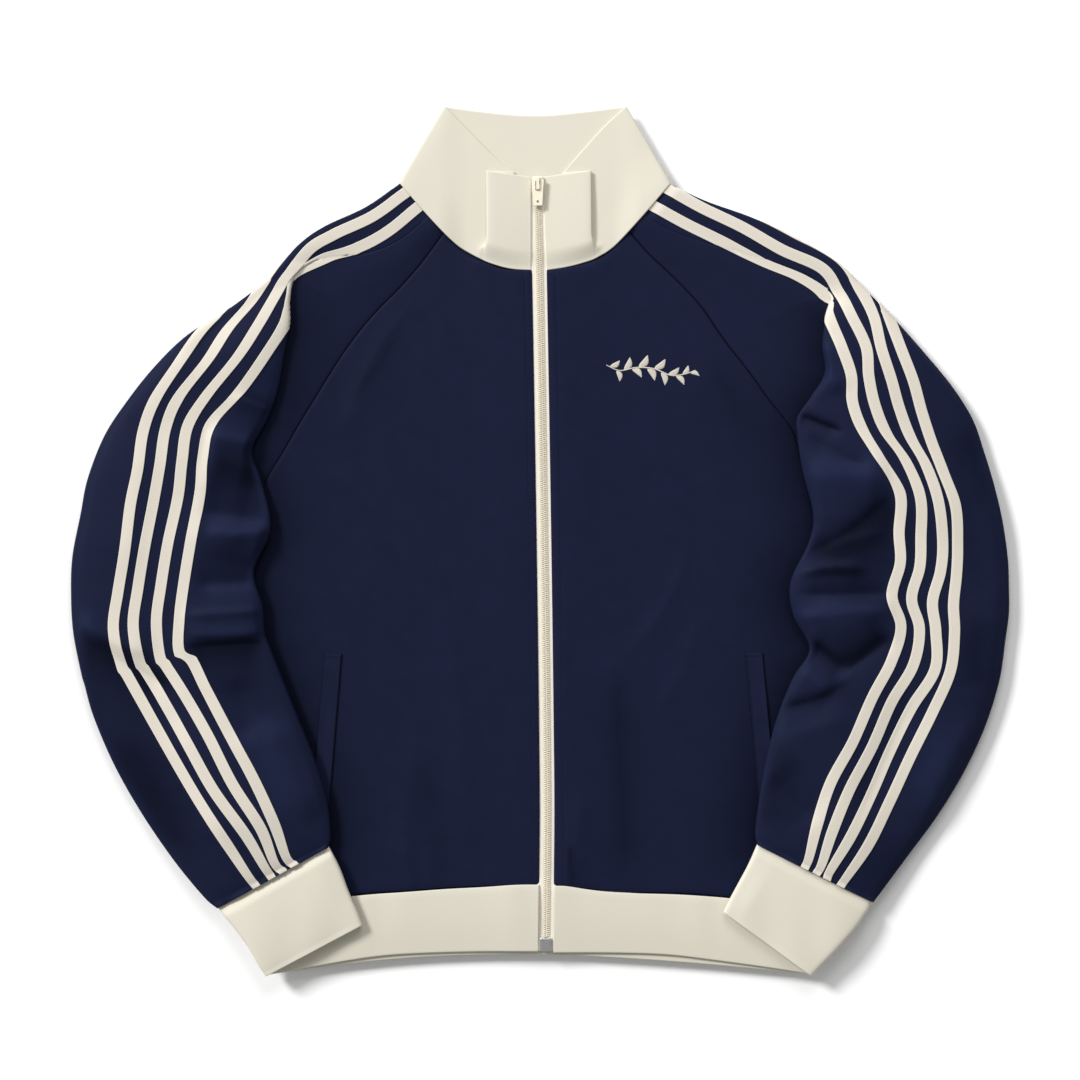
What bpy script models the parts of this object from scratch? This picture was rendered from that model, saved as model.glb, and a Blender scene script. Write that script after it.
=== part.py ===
"""Track jacket laid flat on its back, zipped to the top, with its raglan sleeves folded down beside it.

Metres, +Z up. It lies on z = 0 with its collar towards +Y, and the wearer's right side is at -X. Tables and
named sizes are in millimetres. Each sewn piece is one object, a wall of cloth on its middle surface.
"""

import math
from collections import namedtuple

import bmesh
import bpy
import numpy as np

MM = 0.001

# Cloth
CLOTH_WALL = 1.2
RIB_WALL = 1.8
TAPE_WALL = 1.0
SEAM_GAP = 0.5
LAYER_GAP = 0.3

# Facets
FRONT_ROWS = 19
FRONT_COLUMNS = 9
BACK_ROWS = 13
BACK_COLUMNS = 7

# Heights of the middle surfaces above the table
BACK_Z = CLOTH_WALL / 2
FRONT_Z = CLOTH_WALL * 1.5 + LAYER_GAP
FRONT_AT_ZIP_Z = 3.4
RIB_BACK_Z = RIB_WALL / 2
RIB_FRONT_Z = RIB_WALL * 1.5 + 0.7
RIB_AT_ZIP_Z = RIB_FRONT_Z + 1.0
SLEEVE_OVER_BODY = 4.9

# Zip
ZIP_HALF_OPENING = 6.2
ZIP_TAPE_WIDTH = 11.0
ZIP_TAPE_WALL = 0.8
ZIP_TAPE_Z = 1.85
COIL_WIDTH = 5.6
COIL_HEIGHT = 1.9
HEM_BOTTOM_Y = -350.0
SLIDER_SIZE = (9.0, 14.0, 3.4)
SLIDER_Y = 302.0
SLIDER_Z = 5.9
CROWN_THICKNESS = 2.6
HINGE_Y = 305.5
HINGE_Z = 9.0
PULL_THICKNESS = 1.5

# Sleeve tapes
TAPES_PER_SLEEVE = 4
TAPE_WIDTH = 9.5
TAPE_PITCH = 18.0
TAPE_GAP = 0.6

# Pocket welts
WELT_WIDTH = 15.0
WELT_LENGTH = 128.0

# Colours, linear
NAVY = (0.0125, 0.0160, 0.0450)
CREAM = (0.76, 0.72, 0.60)
TAPE_CREAM = (0.80, 0.75, 0.64)
SILVER = (0.62, 0.62, 0.64)

# ------------------------------------------------------------------ tables

# One section across a sleeve. The seam is where its front edge is sewn to the body, inner its fold beside
# the body, outer its outline. tapes_in is how far the middle of the tapes lies in from the outer edge,
# around the cloth. rise is the top layer over the bottom one, fold the depth of cloth turned under inner.
Section = namedtuple("Section", "seam_x seam_y inner_x inner_y outer_x outer_y tapes_in rise fold lift")

# Past the armpit the sleeve is a closed tube, whose seam lies under it, seam_in from the inner edge.
Tube = namedtuple("Tube", "inner_x inner_y outer_x outer_y tapes_in rise seam_in")

RIGHT_RAGLAN = [
    Section(-84, 260, -96, 273, -120, 302, -6, 2.6, 0.0, 2.6),
    Section(-101, 237, -122, 254, -148, 283, -3, 3.0, 0.0, 2.6),
    Section(-120, 215, -153, 243, -184, 266, 0, 3.4, 0.0, 2.6),
    Section(-136, 199, -184, 240, -206, 250, 2, 3.6, 0.0, 2.6),
    Section(-152, 181, -207, 227, -229, 224, 4, 3.8, 0.3, 2.5),
    Section(-167, 161, -213, 206, -262, 198, 26, 4.0, 0.8, 2.4),
    Section(-180, 141, -213, 184, -300, 174, 48, 4.2, 1.0, 2.3),
    Section(-193, 120, -217, 160, -328, 147, 60, 4.4, 1.0, 2.1),
    Section(-207, 97, -223, 127, -352, 117, 57, 4.6, 1.0, 1.4),
    Section(-219, 76, -232, 103, -371, 88, 63, 4.6, 1.0, 0.2),
    Section(-229, 60, -245, 76, -385, 52, 74, 4.6, 1.0, 0.0),
    Section(-236, 47, -237, 50, -391, 22, 75, 4.6, 1.0, 0.0),
]
RIGHT_TUBE = [
    Tube(-229, 10, -398, -15, 74, 4.6, 16),
    Tube(-243, -26, -399, -50, 69, 4.6, 16),
    Tube(-236, -55, -397, -80, 64, 4.6, 16),
    Tube(-234, -80, -390, -115, 61, 4.6, 16),
    Tube(-222, -110, -380, -150, 72, 4.6, 16),
    Tube(-208, -145, -363, -190, 77, 4.4, 16),
    Tube(-192, -185, -340, -231, 75, 4.2, 16),
    Tube(-181, -222, -312, -272, 73, 4.0, 16),
    Tube(-178, -250, -286, -303, 60, 3.8, 16),
    Tube(-180, -261, -274, -313, 49, 3.4, 16),
]
LEFT_RAGLAN = [
    Section(78, 261, 90, 274, 111, 301, -5, 2.6, 0.0, 2.6),
    Section(93, 244, 116, 262, 141, 288, -3, 3.0, 0.0, 2.6),
    Section(110, 228, 152, 250, 180, 274, 0, 3.4, 0.0, 2.6),
    Section(127, 211, 195, 238, 216, 257, 2, 3.6, 0.0, 2.6),
    Section(140, 196, 230, 225, 252, 236, 5, 3.8, 0.0, 2.6),
    Section(152, 178, 247, 209, 276, 213, 15, 4.0, 0.0, 2.4),
    Section(163, 163, 243, 190, 300, 189, 24, 4.2, 1.0, 2.3),
    Section(175, 148, 240, 165, 326, 160, 44, 4.4, 1.0, 2.3),
    Section(186, 133, 242, 142, 350, 131, 63, 4.6, 1.0, 1.8),
    Section(196, 119, 230, 121, 368, 103, 75, 4.6, 1.0, 0.6),
    Section(206, 107, 219, 104, 378, 75, 76, 4.6, 1.0, 0.0),
    Section(216, 93, 219, 88, 386, 48, 67, 4.6, 1.0, 1.0),
    Section(229, 64, 223, 60, 393, 18, 64, 4.6, 1.0, 1.7),
]
LEFT_TUBE = [
    Tube(232, 22, 398, -15, 68, 4.6, 28),
    Tube(228, -3, 399, -40, 71, 4.6, 28),
    Tube(213, -35, 399, -62, 76, 4.6, 30),
    Tube(215, -63, 396, -85, 68, 4.6, 30),
    Tube(229, -92, 391, -119, 68, 4.6, 26),
    Tube(215, -117, 379, -158, 75, 4.6, 26),
    Tube(201, -152, 361, -197, 75, 4.4, 22),
    Tube(192, -188, 338, -235, 71, 4.2, 18),
    Tube(186, -222, 312, -270, 61, 4.0, 16),
    Tube(183, -248, 290, -299, 52, 3.8, 16),
    Tube(185, -259, 283, -308, 49, 3.4, 16),
]

# A cuff from its seam to its edge: inner and outer corners.
CuffRow = namedtuple("CuffRow", "inner_x inner_y outer_x outer_y")
RIGHT_CUFF = [
    CuffRow(-179.5, -262, -273.5, -314),
    CuffRow(-171, -277, -259, -329),
    CuffRow(-163, -298, -247, -345),
    CuffRow(-156, -314, -238, -361),
    CuffRow(-151, -327, -232, -370),
]
LEFT_CUFF = [
    CuffRow(184.5, -260, 282.5, -309),
    CuffRow(177, -276, 270, -326),
    CuffRow(169, -291, 256, -342),
    CuffRow(162, -304, 241, -358),
    CuffRow(156, -316, 230, -370),
]

# Seams of the body, from the hem upwards, and across it from the zip outwards.
SeamPoint = namedtuple("SeamPoint", "x y")
RIGHT_SIDE = [SeamPoint(-234, -312), SeamPoint(-237, -200), SeamPoint(-237, -100), SeamPoint(-237, 0)]
LEFT_SIDE = [SeamPoint(238, -312), SeamPoint(239, -200), SeamPoint(238, -100), SeamPoint(236, 0)]
RIGHT_UNDERARM = [SeamPoint(-238, 30)]
LEFT_UNDERARM = [SeamPoint(233, 34), SeamPoint(226, 66)]
RIGHT_NECK = [SeamPoint(-30, 231), SeamPoint(-45, 236), SeamPoint(-58, 241), SeamPoint(-70, 249)]
LEFT_NECK = [SeamPoint(26, 233), SeamPoint(45, 238), SeamPoint(59, 246)]
RIGHT_NECK_AT_ZIP = 230.5
RIGHT_HEM_SEAM = [SeamPoint(0, -294), SeamPoint(-47, -295), SeamPoint(-80, -296.5), SeamPoint(-112, -299),
                  SeamPoint(-158, -302), SeamPoint(-234, -312)]
LEFT_HEM_SEAM = [SeamPoint(0, -295), SeamPoint(40, -297), SeamPoint(67, -300), SeamPoint(118, -301),
                 SeamPoint(159, -304), SeamPoint(238, -312)]
RIGHT_HEM_EDGE = [SeamPoint(0, -350), SeamPoint(-47, -350), SeamPoint(-91, -351), SeamPoint(-131, -353),
                  SeamPoint(-166, -358), SeamPoint(-230, -370)]
LEFT_HEM_EDGE = [SeamPoint(0, -351), SeamPoint(50, -351), SeamPoint(105, -352), SeamPoint(145, -357),
                 SeamPoint(204, -365), SeamPoint(233, -370)]

# The collar band, as lines across it from neck seam to top edge. layer counts the layers under the line,
# 0 for the back, 1 for the front, 2 and 3 for the pleat on each side of the zip.
CollarLine = namedtuple("CollarLine", "seam_x seam_y edge_x edge_y layer")
RIGHT_COLLAR = [
    CollarLine(-8, 231, -8, 309, 1.6),
    CollarLine(-26, 231, -27, 311.5, 2.4),
    CollarLine(-44, 236, -45, 314, 3),
    CollarLine(-44.5, 236.2, -45, 314, 2),
    CollarLine(-45, 236.4, -22, 313, 2),
    CollarLine(-45.5, 236.6, -22, 313, 1),
    CollarLine(-72, 251, -38, 325, 1),
    CollarLine(-96, 276, -62, 350, 1),
    CollarLine(-120, 304, -81, 369, 1),
    CollarLine(-120, 304, -81, 369, 0),
    CollarLine(-66, 278, -45, 364, 0),
]
COLLAR_BACK = CollarLine(-3, 280, -3, 360.5, 0)
LEFT_COLLAR = [
    CollarLine(6, 231, 3, 309, 1.6),
    CollarLine(25, 233, 22, 311.5, 2.4),
    CollarLine(44, 238, 43, 314, 3),
    CollarLine(44.5, 238.2, 43, 314, 2),
    CollarLine(45, 238.4, 20, 313, 2),
    CollarLine(45.5, 238.6, 20, 313, 1),
    CollarLine(66, 252, 32, 327, 1),
    CollarLine(89, 277, 54, 352, 1),
    CollarLine(111, 303, 73, 369, 1),
    CollarLine(111, 303, 73, 369, 0),
    CollarLine(60, 279, 40, 365, 0),
]
COLLAR_LAYER = RIB_WALL + 0.75
PLEAT_STARTS = 0.22

# Soft ridges in the fronts: from one end to the other, with their width and height.
Ridge = namedtuple("Ridge", "x0 y0 x1 y1 width height")
BODY_RIDGES = [
    Ridge(-60, -280, -75, -60, 22, 1.8),
    Ridge(-120, -285, -105, -160, 16, 1.3),
    Ridge(70, -285, 60, -90, 24, 2.0),
    Ridge(28, -290, 34, -215, 12, 1.6),
    Ridge(128, 190, 180, 80, 18, 1.6),
    Ridge(-130, 170, -170, 90, 18, 1.4),
]

# Pocket welts: their upper ends and the way they run down.
Welt = namedtuple("Welt", "x y lean")
WELTS = {"right": Welt(-176, -97, -10.5), "left": Welt(182, -96, 12.0)}


# ------------------------------------------------------------------ curves


def along_curve(points, fractions):
    """Points at those fractions of the length of a Catmull-Rom curve through the given ones."""
    points = np.asarray(points, float)
    ends = np.concatenate([points[:1] * 2 - points[1:2], points, points[-1:] * 2 - points[-2:-1]])
    steps = np.linspace(0, len(points) - 1, 24 * (len(points) - 1) + 1)
    i = np.minimum(steps.astype(int), len(points) - 2)
    t = (steps - i)[:, None]
    dense = 0.5 * (
        2 * ends[i + 1]
        + (ends[i + 2] - ends[i]) * t
        + (2 * ends[i] - 5 * ends[i + 1] + 4 * ends[i + 2] - ends[i + 3]) * t**2
        + (3 * ends[i + 1] - ends[i] - 3 * ends[i + 2] + ends[i + 3]) * t**3
    )
    length = np.concatenate([[0], np.cumsum(np.linalg.norm(np.diff(dense, axis=0), axis=1))])
    wanted = np.asarray(fractions) * length[-1]
    return np.stack([np.interp(wanted, length, column) for column in dense.T], axis=-1)


SPLINE_STEPS = 8  # between two knots


def across_spline(polygon):
    """Quadratic B-spline through the middles of each control polygon's sides; [section, corner, 3]."""
    corners = polygon.shape[1]
    padded = np.concatenate([polygon[:, :1], polygon, polygon[:, -1:]], axis=1)
    knots = np.linspace(0, corners, SPLINE_STEPS * corners + 1)
    i = np.minimum(knots.astype(int), corners - 1)
    t = (knots - i)[None, :, None]
    before, at, after = padded[:, i], padded[:, i + 1], padded[:, i + 2]
    return 0.5 * (1 - t) ** 2 * before + (0.5 + t - t * t) * at + 0.5 * t * t * after


def lengths_across(dense):
    steps = np.linalg.norm(np.diff(dense, axis=1), axis=2)
    return np.concatenate([np.zeros((len(dense), 1)), np.cumsum(steps, axis=1)], axis=1)


def at_lengths(dense, lengths, wanted):
    """Row by row, the points of dense at the wanted lengths."""
    return np.array(
        [
            [[np.interp(w, known, row[:, axis]) for axis in range(3)] for w in wants]
            for row, known, wants in zip(dense, lengths, wanted)
        ]
    )


def smooth_step(low, high, value):
    t = np.clip((value - low) / (high - low), 0, 1)
    return t * t * (3 - 2 * t)


def zip_x(y):
    """The zip bows gently: it stands furthest to +X low on the body and leans to -X at the collar."""
    return 6.0 - 8.0 * np.abs((np.asarray(y, float) + 230.0) / 535.0) ** 1.3


# ------------------------------------------------------------------ meshes


def cloth(name, material, points, wall, grows=0):
    """A wall of cloth on a grid of points, [row][column], in millimetres, which grows to one side or both."""
    rows, columns = points.shape[:2]
    shell = bmesh.new()
    bmesh.ops.create_grid(shell, x_segments=columns - 1, y_segments=rows - 1, size=0.5)
    for vertex in shell.verts:
        column = round((vertex.co.x + 0.5) * (columns - 1))
        row = round((vertex.co.y + 0.5) * (rows - 1))
        vertex.co = points[row][column] * MM
    bmesh.ops.triangulate(shell, faces=shell.faces, quad_method="FIXED")
    mesh = bpy.data.meshes.new(name)
    shell.to_mesh(mesh)
    shell.free()
    obj = add_object(name, mesh, material)
    solidify = obj.modifiers.new("Wall", "SOLIDIFY")
    solidify.thickness = wall * MM
    solidify.offset = grows
    mesh.shade_smooth()
    return obj


def add_object(name, mesh, material):
    obj = bpy.data.objects.new(name, mesh)
    jacket.objects.link(obj)
    obj.data.materials.append(material)
    return obj


def finish(name, colour, roughness, metallic=0.0):
    material = bpy.data.materials.new(name)
    material.use_nodes = True
    shader = material.node_tree.nodes["Principled BSDF"]
    shader.inputs["Base Color"].default_value = (*colour, 1)
    shader.inputs["Roughness"].default_value = roughness
    shader.inputs["Metallic"].default_value = metallic
    return material


def unit(vectors):
    return vectors / np.linalg.norm(vectors, axis=-1, keepdims=True)


def grid_normals(obj, rows, columns):
    """The normals that the wall's thickness follows, [row][column]."""
    normals = np.array([vertex.normal for vertex in obj.data.vertices])
    return normals.reshape(rows, columns, 3)


def patch(bottom, top, inner, outer, rows, columns):
    """Coons patch: a plan filled from its four edge curves, inner and outer running from bottom to top."""
    u = np.linspace(0, 1, columns)
    v = np.linspace(0, 1, rows)
    low, high = along_curve(bottom, u), along_curve(top, u)
    left, right = along_curve(inner, v), along_curve(outer, v)
    low[0], low[-1], high[0], high[-1] = left[0], right[0], left[-1], right[-1]
    u, v = u[None, :, None], v[:, None, None]
    sides = (1 - u) * left[:, None] + u * right[:, None]
    ends = (1 - v) * low[None] + v * high[None]
    corners = (1 - v) * ((1 - u) * low[0] + u * low[-1]) + v * ((1 - u) * high[0] + u * high[-1])
    return sides + ends - corners


# ------------------------------------------------------------------ body


def raglan_seam(raglan):
    return [(row.seam_x, row.seam_y) for row in reversed(raglan)]


def body_side(side, underarm, raglan):
    """The outer edge of the body from the hem up: side seam, underarm, raglan seam to the neck."""
    seam = [point for point in raglan_seam(raglan) if point[1] > underarm[-1].y + 5]
    return [tuple(p) for p in side + underarm] + seam


def front_height(x, y):
    """The front lies on the back, steps up over the zip's tapes, and has a few soft ridges."""
    from_zip = np.abs(x - zip_x(y))
    height = FRONT_Z + (FRONT_AT_ZIP_Z - FRONT_Z) * (1 - smooth_step(18, 70, from_zip))
    for ridge in BODY_RIDGES:
        run = np.array([ridge.x1 - ridge.x0, ridge.y1 - ridge.y0])
        length = np.hypot(*run)
        along = ((x - ridge.x0) * run[0] + (y - ridge.y0) * run[1]) / length**2
        aside = ((x - ridge.x0) * run[1] - (y - ridge.y0) * run[0]) / length
        fade = smooth_step(0, 0.25, along) * (1 - smooth_step(0.75, 1, along))
        height = height + ridge.height * fade * np.exp(-((aside / ridge.width) ** 2))
    return height


def make_fronts():
    sides = {
        "front_right": (-1, RIGHT_SIDE, RIGHT_UNDERARM, RIGHT_RAGLAN, RIGHT_NECK, RIGHT_HEM_SEAM),
        "front_left": (1, LEFT_SIDE, LEFT_UNDERARM, LEFT_RAGLAN, LEFT_NECK, LEFT_HEM_SEAM),
    }
    for name, (way, side, underarm, raglan, neck, hem) in sides.items():
        outer = [(x - way * 2 * SEAM_GAP, y - SEAM_GAP) for x, y in body_side(side, underarm, raglan)]
        outer[0] = (outer[0][0], hem[-1].y + SEAM_GAP)
        zip_ys = np.linspace(hem[0].y + SEAM_GAP, RIGHT_NECK_AT_ZIP - SEAM_GAP, 9)
        inner = [(zip_x(y) + way * ZIP_HALF_OPENING, y) for y in zip_ys]
        bottom = [inner[0]] + [(p.x, p.y + SEAM_GAP) for p in hem[1:-1]] + [outer[0]]
        top = [inner[-1]] + [(p.x, p.y - SEAM_GAP) for p in neck] + [outer[-1]]
        plan = patch(bottom, top, inner, outer, FRONT_ROWS, FRONT_COLUMNS)
        height = front_height(plan[..., 0], plan[..., 1])
        edge = np.linspace(0, 1, FRONT_COLUMNS)[None, :]
        height = FRONT_Z + (height - FRONT_Z) * (1 - smooth_step(0.8, 1.0, edge))
        cloth(name, navy, np.dstack([plan, height]), CLOTH_WALL)


def make_back():
    right = [(x + 3 * SEAM_GAP, y) for x, y in body_side(RIGHT_SIDE, RIGHT_UNDERARM, RIGHT_RAGLAN)]
    left = [(x - 3 * SEAM_GAP, y) for x, y in body_side(LEFT_SIDE, LEFT_UNDERARM, LEFT_RAGLAN)]
    bottom = [right[0], (-120, -302), (0, -297), (120, -303), left[0]]
    top = [right[-1], (-45, 274), (0, 277), (45, 275), left[-1]]
    plan = patch(bottom, top, right, left, BACK_ROWS, BACK_COLUMNS)
    cloth("back", navy, np.dstack([plan, np.full(plan.shape[:2], BACK_Z)]), CLOTH_WALL)


def make_welts():
    for side, welt in WELTS.items():
        way = -1 if side == "right" else 1
        v = np.linspace(0, 1, 6)[:, None]
        u = np.linspace(-0.5, 0.5, 3)[None, :]
        x = welt.x + welt.lean * v + way * WELT_WIDTH * u
        y = welt.y - WELT_LENGTH * v + 0 * u
        z = front_height(x, y) + CLOTH_WALL + LAYER_GAP
        cloth("pocket_welt_" + side, navy, np.dstack([x, y, z]), CLOTH_WALL)


# ------------------------------------------------------------------ sleeves


def body_edge_x(y, side, underarm, raglan):
    edge = np.array(body_side(side, underarm, raglan))
    return np.interp(y, edge[:, 1], np.abs(edge[:, 0]))


def over_body(points, side, underarm, raglan):
    """How far cloth that lies on the body is lifted: fully inside the body's edge, less and less outside it."""
    inside = body_edge_x(points[..., 1], side, underarm, raglan) - np.abs(points[..., 0])
    return SLEEVE_OVER_BODY * smooth_step(-34, -4, inside)


def sleeve_polygon(raglan, tube):
    """Control corners of each section, from the front seam over the top and round to the back seam."""
    sections = []
    for row in raglan:
        seam, inner, outer = (np.array(p) for p in ((row[0:2]), (row[2:4]), (row[4:6])))
        width = np.linalg.norm(outer - inner)
        out = (outer - inner) / width
        under = FRONT_Z + row.lift
        low = BACK_Z + row.lift
        turned = inner + out * 7.0 * row.fold
        edge_low = under + 2.9 * row.fold
        edge_high = max(edge_low + 2.8 * row.fold, low + row.rise * (1 - row.fold))
        outer_top = low + max(2.4, 0.75 * row.rise)
        sections.append(
            [
                (*seam, FRONT_Z),
                (*((seam + turned) / 2), under),
                (*turned, under),
                (*turned, edge_low),
                (*inner, edge_low),
                (*inner, edge_high),
                (*(inner + out * 0.15 * width), edge_high + 0.3),
                (*(inner + out * 0.4 * width), (edge_high + low + row.rise) / 2 + 0.3),
                (*(inner + out * 0.65 * width), low + row.rise),
                (*(inner + out * 0.88 * width), low + row.rise),
                (*outer, outer_top),
                (*outer, low),
                (*(inner + out * 0.8 * width), low),
                (*(inner + out * 0.5 * width), low),
                (*(inner + out * 0.2 * width), low),
                (*(seam + out * 0.4), BACK_Z),
            ]
        )
    for row in tube:
        inner, outer = np.array(row[0:2]), np.array(row[2:4])
        width = np.linalg.norm(outer - inner)
        out = (outer - inner) / width
        low = BACK_Z
        high = low + row.rise
        sections.append(
            [
                (*(inner + out * row.seam_in), low),
                (*(inner + out * row.seam_in * 0.7), low),
                (*(inner + out * row.seam_in * 0.45), low),
                (*(inner + out * row.seam_in * 0.2), low),
                (*inner, low),
                (*inner, high - 0.8),
                (*(inner + out * 0.12 * width), high),
                (*(inner + out * 0.4 * width), high + 0.3),
                (*(inner + out * 0.65 * width), high + 0.3),
                (*(inner + out * 0.9 * width), high),
                (*outer, high - 0.8),
                (*outer, low),
                (*(inner + out * 0.85 * width), low),
                (*(inner + out * 0.6 * width), low),
                (*(inner + out * (row.seam_in + 14)), low),
                (*(inner + out * (row.seam_in + 1.0)), low),
            ]
        )
    return np.array(sections, float)


# Knots of a section's spline: at its outer edge, at its inner fold, and where the turned cloth comes back.
OUTER_KNOT = 11
INNER_KNOT = 5
TURN_KNOT = 3


def sleeve_grid(raglan, tube, side, underarm):
    """(points, index of the first tape's first column): columns follow the tapes, the folds and the seams."""
    dense = across_spline(sleeve_polygon(raglan, tube))
    joined = np.array([0.0] * len(raglan) + [1.0] * len(tube))[:, None]
    dense[..., 2] += joined * over_body(dense, side, underarm, raglan)
    lengths = lengths_across(dense)
    tapes_in = np.array([row.tapes_in for row in raglan + tube], float)
    middle = lengths[:, OUTER_KNOT * SPLINE_STEPS] - tapes_in
    around = middle[:, None] - lengths
    centre = at_lengths(dense, lengths, middle[:, None])[:, 0]
    run = unit(np.gradient(centre[:, :2], axis=0))
    ends = [(row.outer_x - row.inner_x, row.outer_y - row.inner_y) for row in raglan + tube]
    ends = unit(np.array(ends, float))
    slant = 1 / np.clip(np.abs(run[:, 0] * ends[:, 1] - run[:, 1] * ends[:, 0]), 0.6, 1)
    slant[:3] = 1.0

    half = TAPE_WIDTH / 2
    middles = (np.arange(TAPES_PER_SLEEVE) - (TAPES_PER_SLEEVE - 1) / 2)[::-1] * TAPE_PITCH
    edges = np.sort(np.concatenate([middles - half, middles + half]))[::-1]
    tapes = slant[:, None] * edges[None, :]

    knot = lambda number: around[:, number * SPLINE_STEPS]
    first, last = tapes[:, 0], tapes[:, -1]
    inner_top = np.maximum(knot(INNER_KNOT) - 4, first + 3)
    inner_edge = np.maximum(knot(INNER_KNOT), inner_top + 1.5)
    inner_low = np.maximum(knot(INNER_KNOT) + 4, inner_edge + 1.5)
    turn = np.maximum(knot(TURN_KNOT), inner_low + 1.5)
    seam = around[:, 0]
    outer_top = np.minimum(knot(OUTER_KNOT) + 4, last - 3)
    outer_edge = np.minimum(knot(OUTER_KNOT), outer_top - 1.5)
    outer_low = np.minimum(knot(OUTER_KNOT) - 4, outer_edge - 1.5)
    back = around[:, -1]
    columns = [seam, (seam + turn) / 2, turn, inner_low, inner_edge, inner_top, (inner_top + first) / 2]
    first_tape = len(columns)
    columns += list(tapes.T)
    columns += [(last + outer_top) / 2, outer_top, outer_edge, outer_low]
    columns += [outer_low + (back - outer_low) * part for part in (0.2, 0.4, 0.6, 0.8)] + [back]
    wanted = middle[:, None] - np.stack(columns, axis=1)
    return at_lengths(dense, lengths, wanted), first_tape


def make_sleeves():
    sides = {
        "right": (RIGHT_RAGLAN, RIGHT_TUBE, RIGHT_SIDE, RIGHT_UNDERARM),
        "left": (LEFT_RAGLAN, LEFT_TUBE, LEFT_SIDE, LEFT_UNDERARM),
    }
    for name, (raglan, tube, side, underarm) in sides.items():
        points, first_tape = sleeve_grid(raglan, tube, side, underarm)
        sleeve = cloth("sleeve_" + name, navy, points, CLOTH_WALL)
        normals = grid_normals(sleeve, *points.shape[:2])
        top = normals[len(points) // 2, first_tape, 2]
        out = normals * np.sign(top)
        for number in range(TAPES_PER_SLEEVE):
            pair = slice(first_tape + 2 * number, first_tape + 2 * number + 2)
            tape = points[:, pair] + out[:, pair] * (CLOTH_WALL / 2 + TAPE_GAP)
            cloth(f"sleeve_tape_{name}_{number + 1}", tape_cream, tape, TAPE_WALL, np.sign(top))


# ------------------------------------------------------------------ ribs


def make_cuffs():
    sides = {
        "cuff_right": (RIGHT_CUFF, RIGHT_SIDE, RIGHT_UNDERARM, RIGHT_RAGLAN),
        "cuff_left": (LEFT_CUFF, LEFT_SIDE, LEFT_UNDERARM, LEFT_RAGLAN),
    }
    for name, (rows, side, underarm, raglan) in sides.items():
        sections = []
        for row in rows:
            inner, outer = np.array(row[0:2]), np.array(row[2:4])
            low, high = RIB_BACK_Z, RIB_BACK_Z + RIB_WALL + 1.5
            at = lambda part: inner + (outer - inner) * part
            sections.append(
                [(*at(part), low) for part in (0.2, 0.12, 0.05, 0)]
                + [(*inner, high - 0.5)]
                + [(*at(part), high) for part in (0.1, 0.35, 0.65, 0.9)]
                + [(*outer, high - 0.5), (*outer, low)]
                + [(*at(part), low) for part in (0.95, 0.7, 0.4, 0.21)]
            )
        dense = across_spline(np.array(sections, float))
        dense[..., 2] += over_body(dense, side, underarm, raglan)
        cloth(name, cream, dense[:, ::6], RIB_WALL)


def make_hem():
    """One band from the zip round the back to the zip again, folded at the body's sides."""
    rows = []
    for part in (0.0, 0.5, 1.0):
        corners = []
        for way, seam, edge in ((-1, RIGHT_HEM_SEAM, RIGHT_HEM_EDGE), (1, LEFT_HEM_SEAM, LEFT_HEM_EDGE)):
            line = []
            for top, bottom in zip(seam, edge):
                x = top.x + (bottom.x - top.x) * part
                y = top.y - SEAM_GAP + (bottom.y - top.y + SEAM_GAP) * part
                line.append((x, y, RIB_FRONT_Z))
            line[0] = (zip_x(line[0][1]) + way * ZIP_HALF_OPENING, line[0][1], RIB_AT_ZIP_Z)
            line.insert(1, (way * 22, line[0][1], RIB_AT_ZIP_Z))
            line.append((*line[-1][:2], RIB_BACK_Z))
            line.append((way * 120, line[4][1] - 2, RIB_BACK_Z))
            corners.append(line)
        right, left = corners
        rows.append(right + [(0, right[0][1] - 2, RIB_BACK_Z)] + left[::-1])
    dense = across_spline(np.array(rows, float))
    cloth("hem", cream, dense[:, ::5], RIB_WALL)


def collar_height(layer, part):
    """Layers of the collar open out from the neck seam, where the front is one layer on the back."""
    if layer <= 1:
        return RIB_BACK_Z + layer * (COLLAR_LAYER + 0.3 * part)
    opened = smooth_step(0.0, PLEAT_STARTS, part)
    full = RIB_BACK_Z + layer * COLLAR_LAYER
    return RIB_BACK_Z + COLLAR_LAYER + (full - RIB_BACK_Z - COLLAR_LAYER) * opened


def make_collar():
    parts = (0.0, 0.11, 0.22, 0.45, 0.72, 1.0)
    rows = []
    for part in parts:
        row = []
        for line in RIGHT_COLLAR + [COLLAR_BACK] + LEFT_COLLAR[::-1]:
            slide = part
            if line in (RIGHT_COLLAR[4], RIGHT_COLLAR[5], LEFT_COLLAR[4], LEFT_COLLAR[5]):
                slide = max(0.0, (part - PLEAT_STARTS) / (1 - PLEAT_STARTS))
            x = line.seam_x + (line.edge_x - line.seam_x) * slide
            y = line.seam_y + (line.edge_y - line.seam_y) * part
            row.append((x, y, collar_height(line.layer, part)))
        rows.append(row)
    dense = across_spline(np.array(rows, float))
    cloth("collar", cream, dense[:, ::4], RIB_WALL)


# ------------------------------------------------------------------ zip


def zip_z(y):
    """Middle of the zip's tapes: on the back, over the hem's inner side, and up with the front of the collar."""
    on_hem = 0.75 * (1 - smooth_step(-300, -285, y))
    in_collar = 1.5 * smooth_step(231, 250, y)
    return ZIP_TAPE_Z + on_hem + in_collar


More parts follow.
